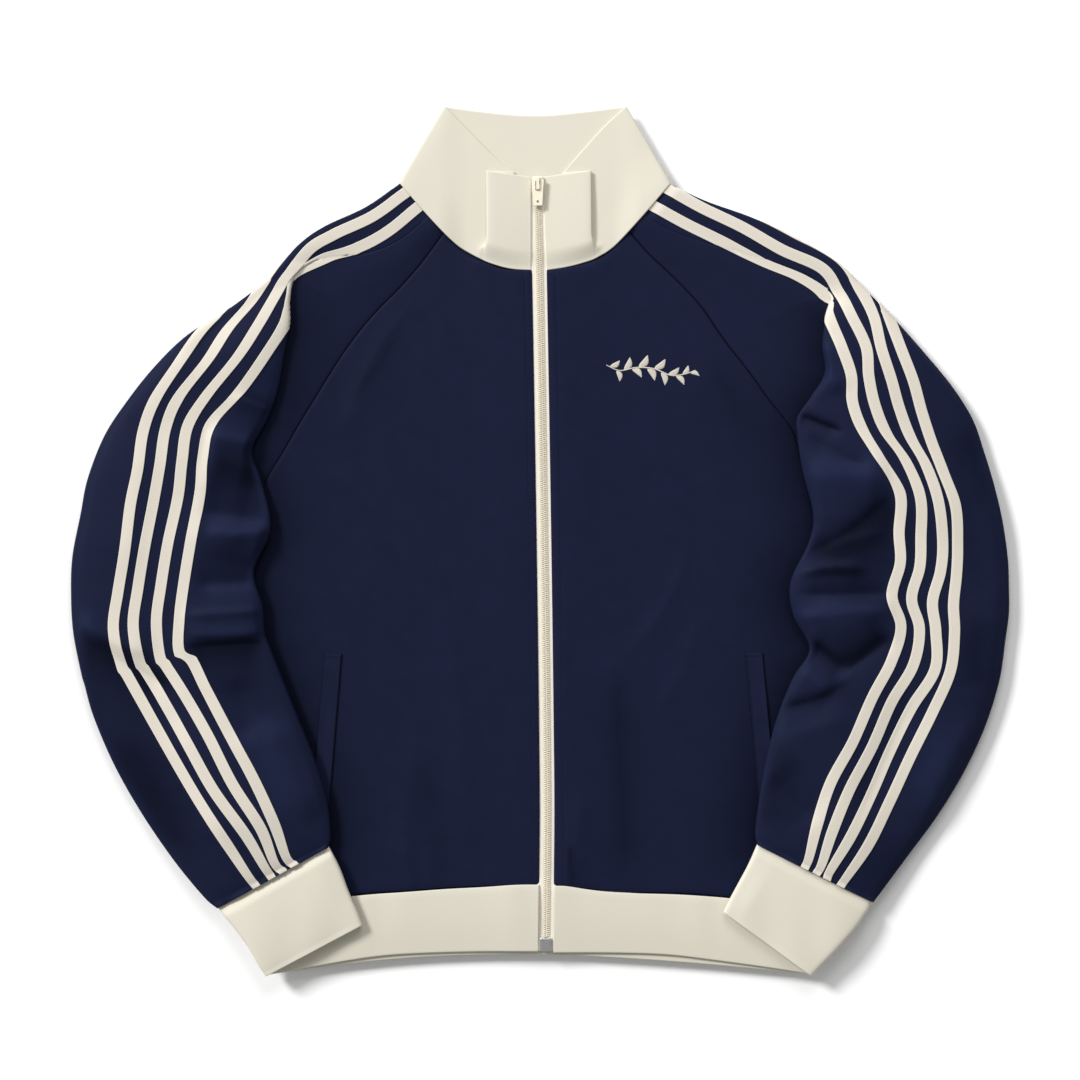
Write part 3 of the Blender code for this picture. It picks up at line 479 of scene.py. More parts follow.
def patch(bottom, top, inner, outer, rows, columns):
    """Coons patch: the two blends of opposite edges added, less the blend of the four corners."""
    u = np.linspace(0, 1, columns)
    v = np.linspace(0, 1, rows)
    low, high = along_curve(bottom, u), along_curve(top, u)
    left, right = along_curve(inner, v), along_curve(outer, v)
    low[0], low[-1], high[0], high[-1] = left[0], right[0], left[-1], right[-1]
    u, v = u[None, :, None], v[:, None, None]
    sides = (1 - u) * left[:, None] + u * right[:, None]
    ends = (1 - v) * low[None] + v * high[None]
    corners = (1 - v) * ((1 - u) * low[0] + u * low[-1]) + v * ((1 - u) * high[0] + u * high[-1])
    return sides + ends - corners


def normals_of(points):
    """Unit cross product of the steps along the columns and along the rows of a grid."""
    return unit(np.cross(np.gradient(points, axis=1), np.gradient(points, axis=0)))


def creased(x, y, table):
    """Sum of the creases: height times exp(0.24 - 1.2 sqrt((aside / width)^2 + 0.04)), faded at both ends."""
    total = np.zeros_like(x)
    for crease in table:
        run = np.array([crease.x1 - crease.x0, crease.y1 - crease.y0], float)
        length = np.hypot(*run)
        along = ((x - crease.x0) * run[0] + (y - crease.y0) * run[1]) / length**2
        aside = ((x - crease.x0) * run[1] - (y - crease.y0) * run[0]) / length
        aside = aside - crease.bow * 4 * along * (1 - along)
        width = np.where(aside < 0, crease.near, crease.far)
        fade = smooth_step(-0.08, 0.25, along) * (1 - smooth_step(0.75, 1.08, along))
        total = total + crease.height * fade * np.exp(0.24 - 1.2 * np.sqrt((aside / width) ** 2 + 0.04))
    return total


def zip_x(y):
    """The zip bows gently: 6 - 8 |(y + 230) / 535|^1.3."""
    return 6.0 - 8.0 * np.abs((np.asarray(y, float) + 230.0) / 535.0) ** 1.3


# ------------------------------------------------------------------ meshes

ROUND = np.radians([0, 35, 65, 90])


def with_edges(points, weight, rim):
    """Adds three lines near each end of the first axis, where the wall rounds off as a quarter circle."""
    reach = rim * (1 - np.cos(ROUND[1:]))
    steps = np.array([0.25, 0.5, 0.75])
    out = []
    for start, towards in ((points[0], points[1]), (points[-1], points[-2])):
        gap = np.maximum(np.linalg.norm(towards - start, axis=-1), 1e-9)
        part = np.minimum(reach[:, None] / gap[None], steps[:, None])[..., None]
        out.append(start[None] + (towards - start)[None] * part)
    lines = np.concatenate([points[:1], out[0], points[1:-1], out[1][::-1], points[-1:]])
    rising = np.sin(ROUND)[:, None]
    first, last = weight[:1] * rising, weight[-1:] * rising[::-1]
    return lines, np.concatenate([first, weight[1:-1], last])


def cloth(name, material, points, wall, by_row=False, painted_shade=None):
    """A closed wall of cloth with rounded edges: middle surface plus and minus half the wall on its normal.

    points is [row][column] in millimetres. Both sides share the rim, where the wall thins to nothing as the
    sine of a quarter turn. The UV map holds metres along the middle row, or along each row, and along the
    middle column. The shade painted into the colour at each point, up to 1, with a painted highlight below 0,
    is kept as an attribute.
    """
    half = wall / MM / 2
    weight = np.ones(points.shape[:2])
    if painted_shade is None:
        painted_shade = 0 * weight
    grid, weight = with_edges(np.dstack([points, painted_shade]), weight, half)
    grid, weight = with_edges(grid.transpose(1, 0, 2), weight.T, half)
    grid, weight = grid.transpose(1, 0, 2), weight.T
    grid, painted_shade = grid[..., :3], grid[..., 3]
    rows, columns = weight.shape
    normals = normals_of(grid) * (weight * half)[..., None]
    across = arc(grid, 1)
    if not by_row:
        across = np.broadcast_to(across[rows // 2][None, :], weight.shape)
    up = np.broadcast_to(arc(grid, 0)[:, columns // 2][:, None], weight.shape)
    uv = np.stack([across, up], axis=-1) * MM
    top = (grid + normals).reshape(-1, 3)
    number = np.arange(rows * columns).reshape(rows, columns)
    under = number.copy()
    inside = np.zeros(weight.shape, bool)
    inside[1:-1, 1:-1] = True
    under[inside] = rows * columns + np.arange(inside.sum())
    vertices = np.concatenate([top, (grid - normals)[inside]]) * MM
    map_points = np.concatenate([uv.reshape(-1, 2), uv[inside]])
    quads = np.concatenate([quads_of(number), quads_of(under)[:, ::-1]])
    obj = add_mesh(name, material, vertices, quads, map_points)
    layer = obj.data.attributes.new(PAINTED_SHADE_NAME, "FLOAT", "POINT")
    layer.data.foreach_set("value", np.concatenate([painted_shade.ravel(), painted_shade[inside]]).astype(np.float32))
    return obj


def quads_of(number):
    """The quads between the lines of an array of vertex numbers."""
    a, b = number[:-1, :-1], number[:-1, 1:]
    c, d = number[1:, 1:], number[1:, :-1]
    return np.stack([a, b, c, d], axis=-1).reshape(-1, 4)


def add_mesh(name, material, vertices, quads, map_points):
    """A piece that rides on the jacket: vertices in metres, quads, and a UV point for each vertex."""
    mesh = bpy.data.meshes.new(name)
    mesh.vertices.add(len(vertices))
    mesh.vertices.foreach_set("co", vertices.astype(np.float32).ravel())
    mesh.loops.add(quads.size)
    mesh.loops.foreach_set("vertex_index", quads.astype(np.int32).ravel())
    mesh.polygons.add(len(quads))
    mesh.polygons.foreach_set("loop_start", np.arange(0, quads.size, 4, dtype=np.int32))
    mesh.update(calc_edges=True)
    layer = mesh.uv_layers.new(name=UV_NAME)
    layer.uv.foreach_set("vector", map_points[quads.ravel()].astype(np.float32).ravel())
    mesh.validate()
    mesh.shade_smooth()
    obj = bpy.data.objects.new(name, mesh)
    bpy.context.scene.collection.objects.link(obj)
    mesh.materials.append(material)
    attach(obj, BODY)
    return obj


def stand_for(node):
    """The piece is shown in place of its solid, which is hidden."""
    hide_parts(node)


# ------------------------------------------------------------------ finishes


class Value:
    """A shader number. Python's operators on it add Math nodes."""

    def __init__(self, finish, socket):
        self.finish = finish
        self.socket = socket

    def maths(self, operation, *values):
        """The value of a Math node that is fed these values."""
        made = self.finish.node("ShaderNodeMath", {"operation": operation}, dict(enumerate(values)))
        return Value(self.finish, made.outputs[0])

    def __add__(self, other):
        return self.maths("ADD", self, other)

    def __sub__(self, other):
        return self.maths("SUBTRACT", self, other)

    def __rsub__(self, other):
        return self.maths("SUBTRACT", other, self)

    def __mul__(self, other):
        return self.maths("MULTIPLY", self, other)

    def __truediv__(self, other):
        return self.maths("DIVIDE", self, other)

    def __abs__(self):
        return self.maths("ABSOLUTE", self)

    __radd__ = __add__
    __rmul__ = __mul__

    def wave(self, pitch):
        """From 0 to 1 and back in each pitch: 0.5 + 0.5 sin(2 pi x / pitch)."""
        turned = self * (2 * math.pi / pitch)
        return self.maths("SINE", turned) * 0.5 + 0.5

    def above(self, edge, soft):
        """0 below the edge and 1 above it, over a soft width."""
        ends = {"From Min": edge - soft, "From Max": edge + soft, "To Min": 0.0, "To Max": 1.0}
        made = self.finish.node(
            "ShaderNodeMapRange", {"interpolation_type": "SMOOTHSTEP"}, {"Value": self, **ends}
        )
        return Value(self.finish, made.outputs[0])


class Finish:
    """A material being made: its nodes, the cloth's own map in millimetres, and its shader."""

    def __init__(self, name):
        self.material = bpy.data.materials.new(name)
        self.material.use_nodes = True
        self.tree = self.material.node_tree
        self.shader = self.tree.nodes["Principled BSDF"]

    def node(self, kind, settings=None, inputs=None):
        """A new node with its settings, and its inputs fed by name or number."""
        made = self.tree.nodes.new(kind)
        for name, setting in (settings or {}).items():
            setattr(made, name, setting)
        for name, value in (inputs or {}).items():
            self.feed(made.inputs[name], value)
        return made

    def feed(self, socket, value):
        """Links a socket to another, or gives it a value."""
        if isinstance(value, Value):
            value = value.socket
        if isinstance(value, bpy.types.NodeSocket):
            self.tree.links.new(value, socket)
        else:
            socket.default_value = value

    def cloth_map(self):
        """(across, up) in millimetres from the piece's own map."""
        source = self.node("ShaderNodeUVMap", {"uv_map": UV_NAME})
        parts = self.node("ShaderNodeSeparateXYZ", {}, {"Vector": source.outputs[0]})
        return Value(self, parts.outputs[0]) / MM, Value(self, parts.outputs[1]) / MM

    def painted_shade(self):
        """The shade painted into the colour, from its attribute: 0 none, 1 the darkest painted shade deep in
        a fold, below 0 a painted highlight on a ridge.
        """
        source = self.node("ShaderNodeAttribute", {"attribute_name": PAINTED_SHADE_NAME})
        return Value(self, source.outputs["Fac"])

    def noise(self, scale, detail=2.0, rough=0.5):
        """Noise on object coordinates; scale is per metre."""
        place = self.node("ShaderNodeTexCoord")
        inputs = {"Vector": place.outputs["Object"], "Scale": scale, "Detail": detail, "Roughness": rough}
        made = self.node("ShaderNodeTexNoise", {}, inputs)
        return Value(self, made.outputs[0])

    def mix(self, part, low, high):
        """A colour between two, at that part."""
        made = self.node("ShaderNodeMix", {"data_type": "RGBA"})
        self.feed(made.inputs[0], part)
        self.feed(made.inputs[6], (*low, 1) if isinstance(low, tuple) else low)
        self.feed(made.inputs[7], (*high, 1) if isinstance(high, tuple) else high)
        return made.outputs[2]

    def bump(self, height, depth):
        """Height from 0 to 1 as a relief of that depth in metres."""
        return self.node("ShaderNodeBump", {}, {"Height": height, "Strength": 1.0, "Distance": depth})

    def close(self, colour, roughness, relief=None, **fixed):
        """Feeds the shader. fixed holds the values that are the same all over."""
        self.feed(self.shader.inputs["Base Color"], colour)
        self.feed(self.shader.inputs["Roughness"], roughness)
        if relief is not None:
            self.feed(self.shader.inputs["Normal"], relief.outputs[0])
        for name, value in fixed.items():
            label = name.replace("_", " ").title().replace("Ior", "IOR")
            self.shader.inputs[label].default_value = value
        return self.material


def shade(colour, factor):
    """The colour times a factor."""
    return tuple(min(1.0, part * factor) for part in colour)


PAINTED_LIGHT_TONE = 1.25  # painted highlight: the navy's tone on a ridge
PAINTED_SHADE_TONE = 0.40  # painted shade: the navy's tone deep in a fold
NAP_DARKEST, NAP_LIGHTEST = 0.80, 1.22  # the ends of its mottle


def navy_tricot(name="navy_tricot", seam=0.0, far_edge_shade=0.0):
    """Smooth warp knit: fine ribs of 0.8 mm up the cloth with a course every 0.55 mm, and a faint mottle.

    Shade and highlight are painted into the colour from the cloth's attribute a: navy times
    1.25 - 0.85 (0.3 + 0.7 a), darker in folds and beside the sleeves, lighter on ridges. A painted shade runs
    along the near edge in its groove, as wide as seam, and another along the far edge, from the second width
    on.
    """
    finish = Finish(name)
    navy = tuple(colours().navy)
    across, up = finish.cloth_map()
    wale = across.wave(0.8)
    course = (up + across * 0.5).wave(0.55)
    mottle = finish.noise(60.0, 3.0)
    fibre = finish.noise(2600.0, 2.0, 0.6)
    tone = mottle * 0.55 + wale * 0.2 + fibre * 0.25
    # Painted lit and painted shaded copies of the navy, mixed by the painted shade attribute
    painted_lit_navy, painted_shaded_navy = (
        finish.mix(tone, shade(navy, NAP_DARKEST * painted_lighting), shade(navy, NAP_LIGHTEST * painted_lighting))
        for painted_lighting in (PAINTED_LIGHT_TONE, PAINTED_SHADE_TONE)
    )
    colour = finish.mix(finish.painted_shade() * 0.7 + 0.3, painted_lit_navy, painted_shaded_navy)
    # Painted shade in the groove along the near edge, and along the far edge
    if seam:
        colour = finish.mix(across.above(seam, 0.35), shade(navy, 0.38), colour)
    if far_edge_shade:
        colour = finish.mix(across.above(far_edge_shade, 0.25), colour, shade(navy, 0.35))
    relief = finish.bump(wale * 0.55 + course * 0.2 + fibre * 0.25, 0.00005)
    return finish.close(colour, mottle * 0.10 + fibre * 0.06 + 0.50, relief, specular_ior_level=0.035)


def cream_rib(name, tone_of_piece):
    """Fine rib knit: ribs 1.3 mm apart, barely raised, with small stitches."""
    finish = Finish(name)
    cream = shade(tuple(colours().cream), tone_of_piece)
    across, up = finish.cloth_map()
    rib = across.wave(1.3)
    stitch = (up + rib * 0.5).wave(1.1)
    mottle = finish.noise(45.0, 3.0)
    fibre = finish.noise(1800.0, 2.0, 0.6)
    tone = rib * 0.4 + mottle * 0.4 + fibre * 0.2
    # The raised ribs are painted a little lighter and the grooves between them a little darker, a painted
    # shade, over a random mottle
    colour = finish.mix(tone, shade(cream, 0.97), shade(cream, 1.025))
    relief = finish.bump(rib * 0.7 + stitch * 0.15 + fibre * 0.15, 0.00005)
    return finish.close(colour, 0.86, relief, specular_ior_level=0.15)


TAPE_MIDDLE = 4.85  # of a sleeve tape's map, with its edges and its stitches out from there
TAPE_EDGE = 3.9
TAPE_STITCH = 3.55
ZIP_TAPE_MIDDLE = 5.5


def cream_tape():
    """Woven tape: fine twill between two plain edges, each with a row of small stitches."""
    finish = Finish("cream_tape")
    cream = tuple(colours().tape)
    across, up = finish.cloth_map()
    aside = abs(across - TAPE_MIDDLE)
    edge = aside.above(TAPE_EDGE, 0.15)
    twill = (up + across).wave(1.25)
    plain = up.wave(0.7)
    weave = twill * (1 - edge) + plain * edge
    stitch = up.wave(2.6).above(0.5, 0.25) * (1 - abs(aside - TAPE_STITCH).above(0.28, 0.1))
    fibre = finish.noise(1700.0, 2.0, 0.6)
    tone = weave * 0.45 + edge * 0.25 + fibre * 0.3 - stitch * 0.1
    colour = finish.mix(tone, shade(cream, 0.90), shade(cream, 1.10))
    relief = finish.bump(weave * 0.5 + edge * 0.2 + fibre * 0.15 + stitch * 0.25, 0.00009)
    return finish.close(colour, 0.8, relief, specular_ior_level=0.2)


def zip_weave():
    """Close herringbone of the zip's own tape."""
    finish = Finish("zip_tape")
    # The tape's cream is lifted 1.3 times, painted light that offsets the shade between the fronts
    cream = shade(tuple(colours().tape), 1.3)
    across, up = finish.cloth_map()
    bone = (up + abs(across - ZIP_TAPE_MIDDLE)).wave(1.3)
    fibre = finish.noise(1700.0, 2.0, 0.6)
    colour = finish.mix(bone * 0.6 + fibre * 0.4, shade(cream, 0.84), shade(cream, 1.04))
    relief = finish.bump(bone * 0.7 + fibre * 0.3, 0.00015)
    return finish.close(colour, 0.82, relief, specular_ior_level=0.25)


def thread(name, colour):
    """Twisted sewing thread: a slanting twist along the stitch."""
    finish = Finish(name)
    across, up = finish.cloth_map()
    twist = (up + across * 2.0).wave(0.5)
    colour = finish.mix(twist, shade(colour, 0.8), shade(colour, 1.08))
    return finish.close(colour, 0.5, finish.bump(twist, 0.00006), specular_ior_level=0.1)


def satin_thread():
    """Satin embroidery: threads 0.42 mm apart, which shine a little along their tops."""
    finish = Finish("satin_thread")
    cream = tuple(colours().tape)
    strand = finish.cloth_map()[1].wave(0.42)
    fibre = finish.noise(900.0, 2.0, 0.5)
    # The threads are painted lighter along their tops, a painted highlight, and darker between them, a
    # painted shade
    colour = finish.mix(strand * 0.7 + fibre * 0.3, shade(cream, 0.80), shade(cream, 1.1))
    return finish.close(colour, fibre * 0.15 + 0.36, finish.bump(strand, 0.00012), sheen_weight=0.1)


def coil_plastic(name, gloss=0.42):
    """Moulded cream plastic or paint, faintly uneven."""
    finish = Finish(name)
    cream = tuple(colours().zip_cream)
    mottle = finish.noise(400.0, 2.0)
    colour = finish.mix(mottle, shade(cream, 0.93), shade(cream, 1.05))
    relief = finish.bump(finish.noise(1500.0, 2.0), 0.00003)
    return finish.close(colour, mottle * 0.1 + gloss, relief, specular_ior_level=0.45)


def silver_metal():
    """Bright pressed metal with fine rubbed lines."""
    finish = Finish("silver_metal")
    rubbed = finish.noise(700.0, 3.0)
    colour = finish.mix(rubbed, (0.52, 0.52, 0.53), (0.72, 0.72, 0.73))
    return finish.close(colour, rubbed * 0.2 + 0.22, finish.bump(rubbed, 0.00002), metallic=1.0)


made_finishes = {}


def finish_of(maker, *words):
    """The finish of that maker and those words, which is made once."""
    key = (maker.__name__, *words)
    if key not in made_finishes:
        made_finishes[key] = maker(*words)
    return made_finishes[key]


# ------------------------------------------------------------------ body


def body_side(side, underarm, raglan):
    """The outer edge of the body from the hem up: side seam, underarm, raglan seam to the neck."""
    seam = [(row.seam_x, row.seam_y) for row in reversed(raglan) if row.seam_y > underarm[-1].y + 5]
    return [tuple(p) for p in side + underarm] + seam


def front_height(x, y):
    """The front lies on the back, steps up over the zip's tapes, and has soft folds."""
    from_zip = np.abs(x - zip_x(y))
    height = FRONT_Z + (FRONT_AT_ZIP_Z - FRONT_Z) * (1 - smooth_step(18, 70, from_zip))
    return height + np.maximum(creased(x, y, BODY_CREASES), -0.3)


def front_points(way, side, underarm, raglan, neck, hem):
    """A front: a Coons patch between zip, hem, side and neck, raised by its folds, its edges turned in."""
    outer = [(x - way * 2 * SEAM_GAP, y - SEAM_GAP) for x, y in body_side(side, underarm, raglan)]
    outer[0] = (outer[0][0], hem[-1].y + SEAM_GAP)
    zip_ys = np.linspace(hem[0].y + SEAM_GAP, NECK_AT_ZIP - SEAM_GAP, 9)
    inner = [(zip_x(y) + way * sizes().zip_opening / MM, y) for y in zip_ys]
    bottom = [inner[0]] + [(p.x, p.y + SEAM_GAP) for p in hem[1:-1]] + [outer[0]]
    top = [inner[-1]] + [(p.x, p.y - SEAM_GAP) for p in neck] + [outer[-1]]
    plan = patch(bottom, top, inner, outer, *FRONT_GRID)
    height = front_height(plan[..., 0], plan[..., 1])
    across = arc(plan, 1)
    up = arc(plan, 0)
    from_side = across[:, -1:] - across
    at_seam = 1 - smooth_step(0, 1.3, from_side)
    at_zip = 1 - smooth_step(0, 3.5, across)
    at_hem = 1 - smooth_step(0, 4.0, up)
    at_neck = 1 - smooth_step(0, 4.0, up[-1:] - up)
    height = FRONT_Z + (height - FRONT_Z) * smooth_step(0, 40, from_side)
    height = height - 0.5 * at_seam - 0.45 * at_zip - 0.5 * at_hem - 0.6 * at_neck
    topstitch = np.exp(-(((across - 7.0) / 0.9) ** 2))
    return np.dstack([plan, height - 0.18 * topstitch])


def painted_shade_beside_sleeve(points, raglan, tube, reach):
    """Painted shade beside the sleeve's inner fold, where the sleeve stands over the cloth: fold times
    exp(-(distance / reach)^1.2).
    """
    fold = [(row.inner_x, row.inner_y, row.fold) for row in raglan]
    fold += [(row.inner_x, row.inner_y, 1.0) for row in tube]
    fold = between(np.array(fold), 4)
    aside = np.linalg.norm(points[:, :, None, :2] - fold[None, None, :, :2], axis=-1)
    nearest = aside.argmin(axis=-1)
    distance = aside.min(axis=-1)
    return np.clip(fold[nearest, 2], 0, 1) * np.exp(-((distance / reach) ** 1.2))


def front_cloth(name, points, raglan, tube, reach):
    """A front with shade painted beside the sleeve and in its folds: the sum of both, up to 1."""
    painted_shade = painted_shade_beside_sleeve(points, raglan, tube, reach) + creased(points[..., 0], points[..., 1], BODY_PAINTED_SHADES)
    painted_shade = np.minimum(painted_shade, 1.0)
    return cloth(name, finish_of(navy_tricot), points, sizes().cloth_wall, painted_shade=painted_shade)


def sew_body():
    """Both fronts, and the back as a Coons patch that waves by 0.1 sin(x / 31) sin(y / 47)."""
    right = front_points(-1, RIGHT_SIDE, RIGHT_UNDERARM, RIGHT_RAGLAN, RIGHT_NECK, RIGHT_HEM_SEAM)
    left = front_points(1, LEFT_SIDE, LEFT_UNDERARM, LEFT_RAGLAN, LEFT_NECK, LEFT_HEM_SEAM)
    front_right = front_cloth("front_right_cloth", right[:, ::-1], RIGHT_RAGLAN, RIGHT_TUBE, SHADE_REACH)
    stand_for("front_right")
    front_left = front_cloth("front_left_cloth", left, LEFT_RAGLAN, LEFT_TUBE, LEFT_SHADE_REACH)
    stand_for("front_left")

    right_side = [(x + 3 * SEAM_GAP, y) for x, y in body_side(RIGHT_SIDE, RIGHT_UNDERARM, RIGHT_RAGLAN)]
    left_side = [(x - 3 * SEAM_GAP, y) for x, y in body_side(LEFT_SIDE, LEFT_UNDERARM, LEFT_RAGLAN)]
    bottom = [right_side[0], (-120, -302), (0, -297), (120, -303), left_side[0]]
    top = [right_side[-1], (-45, 274), (0, 277), (45, 275), left_side[-1]]
    plan = patch(bottom, top, right_side, left_side, *BACK_GRID)
    z = np.full(plan.shape[:2], BACK_Z) + 0.1 * np.sin(plan[..., 0] / 31) * np.sin(plan[..., 1] / 47)
    back = cloth("back_cloth", finish_of(navy_tricot), np.dstack([plan, z]), sizes().cloth_wall)
    stand_for("back")


def way_of(side):
    """-1 on the wearer's right and 1 on the left, as x runs."""
    return -1 if side == "right" else 1


def welt_plan(side, across, down):
    """A point on a welt: its end plus its lean and length times down, and its width times across."""
    welt = WELTS[side]
    x = welt.x + welt.lean * down + way_of(side) * welt.width * across
    y = welt.y - welt.length * down + 0 * across
    return x, y


def sew_welts():
    """Each welt is a folded strip, raised at its opening edge and pressed flat where it is stitched down.

    Its height is the front's plus 1.1, plus at the opening edge 0.5 sin(pi down) and a small wave.
    """
    rows, columns = WELT_GRID
    across = np.linspace(-0.5, 0.5, columns)[None, :]
    down = np.linspace(0, 1, rows)[:, None]
    for side in WELTS:
        x, y = welt_plan(side, across, down)
        way = way_of(side)
        edge = smooth_step(0.1, 0.5, across)
        bowed = np.sin(np.pi * down)
        z = front_height(x, y) + 1.1 + 0.5 * edge * bowed + 0.15 * np.sin(down * 21 + way) * edge
        points = np.dstack([x, y, z])
        if way < 0:
            points = points[:, ::-1]
        # Painted shade along both long edges of the welt, in the gaps beside it: 0.55 mm in from one edge,
        # and from 14.2 mm across on
        navy = finish_of(navy_tricot, "navy_welt_" + side, 0.55, 14.2)
        welt = cloth("welt_" + side, navy, points, sizes().cloth_wall)
        stand_for("pocket_welt_" + side)


# ------------------------------------------------------------------ sleeves


def over_body(points, side, underarm, raglan):
    """How far cloth that lies on the body is lifted: fully inside the body's edge, and less outside it."""
    edge = np.array(body_side(side, underarm, raglan))
    inside = np.interp(points[..., 1], edge[:, 1], np.abs(edge[:, 0])) - np.abs(points[..., 0])
    return SLEEVE_OVER_BODY * smooth_step(-90, -4, inside)


def raglan_corners(row):
    """Control corners from the front seam, under the turned fold, over the top and round to the back seam.

    Each is its section's inner edge plus a part of the width, at the height of the layer that it is in.
    """
    seam, inner, outer = (np.array(p, float) for p in (row[0:2], row[2:4], row[4:6]))
    width = np.linalg.norm(outer - inner)
    out = (outer - inner) / width
    under = FRONT_Z + row.lift
    low = BACK_Z + row.lift
    turned = inner + out * TURNED_UNDER * row.fold
    edge_low = under + 2.9 * row.fold
    edge_high = edge_low + 2.8 * row.fold + 0.3 * (1 - row.fold)
    outer_top = low + max(2.4, 0.75 * row.rise)
    return [
        (*(seam + unit(seam - turned) * 1.6), FRONT_Z - 0.9),
        (*((seam + turned) / 2), under),
        (*turned, under),
        (*turned, edge_low),
        (*inner, edge_low),
        (*inner, edge_high),
        (*(inner + out * 0.15 * width), edge_high + 0.3),
        (*(inner + out * 0.4 * width), (edge_high + low + row.rise) / 2 + 0.3),
        (*(inner + out * 0.65 * width), low + row.rise),
        (*(inner + out * 0.88 * width), low + row.rise),
        (*outer, outer_top),
        (*outer, low),
        (*(inner + out * 0.8 * width), low),
        (*(inner + out * 0.5 * width), low),
        (*(inner + out * 0.2 * width), low),
        (*(seam + out * 0.4), BACK_Z),
    ]


def tube_corners(row):
    """Control corners of the closed part, from its seam underneath, round the inner edge and back.

    Each is its section's inner edge plus a part of the width, at the height of the top or bottom layer.
    """
    inner, outer = np.array(row[0:2], float), np.array(row[2:4], float)
    width = np.linalg.norm(outer - inner)
    out = (outer - inner) / width
    low = BACK_Z
    high = low + row.rise
    under = [(*(inner + out * row.seam_in * part), low) for part in (1.0, 0.7, 0.45, 0.2, 0.0)]
    over = [(*inner, high - 0.8)]
    full = ((0.12, 0), (0.4, 0.3), (0.65, 0.3))
    over += [(*(inner + out * part * width), high + extra) for part, extra in full]
    over += [(*(inner + out * 0.9 * width), high), (*outer, high - 0.8), (*outer, low)]
    back = [(*(inner + out * part * width), low) for part in (0.85, 0.6)]
    back += [(*(inner + out * (row.seam_in + far)), low) for far in (14.0, 1.0)]
    return under + over + back


def sleeve_surface(raglan, tube, side, underarm, creases, painted_shades):
    """(points, arc length across, arc lengths of the inner and outer edge, painted shade): a loft of the
    sections.

    A B-spline across each section, Catmull-Rom between sections, then the lift over the body, a crown of up
    to 6.5 mm that makes the arm soft and full, the creases on the top layer, and puckers at the cuff. The
    painted shade is 0.9 times how steeply the folds rise towards the collar, less 0.04 times their height,
    plus the painted shades, painted darker between the puckers and lighter on them.
    """
    corners = np.array([raglan_corners(row) for row in raglan] + [tube_corners(row) for row in tube])
    dense = across_spline(between(corners, ROWS_PER_SECTION))
    joined = between(np.array([0.0] * len(raglan) + [1.0] * len(tube)), ROWS_PER_SECTION)
    dense[..., 2] += np.clip(joined, 0, 1)[:, None] * over_body(dense, side, underarm, raglan)
    lengths = arc(dense, 1)
    inner_at = lengths[:, INNER_KNOT * SPLINE_STEPS]
    outer_at = lengths[:, OUTER_KNOT * SPLINE_STEPS]
    turn_at = lengths[:, TURN_KNOT * SPLINE_STEPS]
    stops = (0 * inner_at, turn_at, inner_at, outer_at, lengths[:, -1])
    wanted = []
    for low, high, count in zip(stops[:-1], stops[1:], SLEEVE_COLUMNS):
        wanted.append(low[:, None] + (high - low)[:, None] * np.linspace(0, 1, count, endpoint=False))
    wanted = np.concatenate(wanted + [lengths[:, -1:]], axis=1)
    points = at_lengths(dense, lengths, wanted)

    width = (outer_at - inner_at)[:, None]
    part = np.clip((wanted - inner_at[:, None]) / width, 0, 1)
    top = smooth_step(0.0, 0.05, part) * (1 - smooth_step(0.93, 1.0, part))
    last = len(corners) - 1
    section = np.linspace(0, last, len(points))[:, None]
    full = smooth_step(4.5, 7.5, section) * (1 - smooth_step(last - 2.5, last, section))
    inner_half = 1 - (1 - 2 * np.minimum(part, 0.5)) ** 2
    outer_half = 1 - (2 * np.maximum(part, 0.5) - 1) ** 4
    crown = SLEEVE_CROWN * inner_half * outer_half * full
    folds = creased(points[..., 0], points[..., 1], creases)
    folds = np.where(folds < 0, np.maximum(folds, -(3.0 + crown)), folds)
    points[..., 2] += top * (crown + folds)
    points[..., 2] -= 0.5 * np.maximum(points[..., 2] - HIGH_Z, 0)
    at_seam = 1 - smooth_step(0, 3.0, wanted)
    raglan_part = 1 - np.clip(joined, 0, 1)[:, None]
    points[..., 2] -= 0.45 * at_seam * raglan_part
    at_cuff = smooth_step(last - 0.6, last, section)
    puckers = 0.5 + 0.5 * np.sin(wanted / 3.1 + 1.4 * np.sin(wanted / 11.0))
    at_end = smooth_step(0.0, 0.03, part) * (1 - smooth_step(0.97, 1.0, part))
    points[..., 2] += at_cuff * at_end * (0.9 + 0.7 * puckers)
    x, y = points[..., 0], points[..., 1]
    # Painted shade where the folds rise towards the collar, so slopes facing the hem are darker; darker in
    # troughs, lighter on ridges
    slope = (creased(x, y + 1.5, creases) - creased(x, y - 1.5, creases)) / 3.0
    painted_shade = 0.9 * slope - 0.04 * folds + creased(x, y, painted_shades)
    # Painted shade between the cuff's puckers and painted highlight on them
    painted_shade += 0.3 * at_cuff * (1 - 2 * puckers)
    at_neck = 1 - smooth_step(0.1, 0.3, section)
    points[..., 2] -= NECK_DROP * at_neck * smooth_step(4.4, 5.4, points[..., 2])
    painted_shade = top * np.clip(painted_shade, ON_RIDGE, 1.0)
    # Painted shade beside the inner fold, also on the sleeve's cloth before its turned fold
    closed = painted_shade_beside_sleeve(points, raglan, tube, SHADE_REACH)
    painted_shade = np.where((wanted < turn_at[:, None]) & (joined[:, None] <= 1), closed, painted_shade)
    return points, wanted, inner_at, outer_at, painted_shade


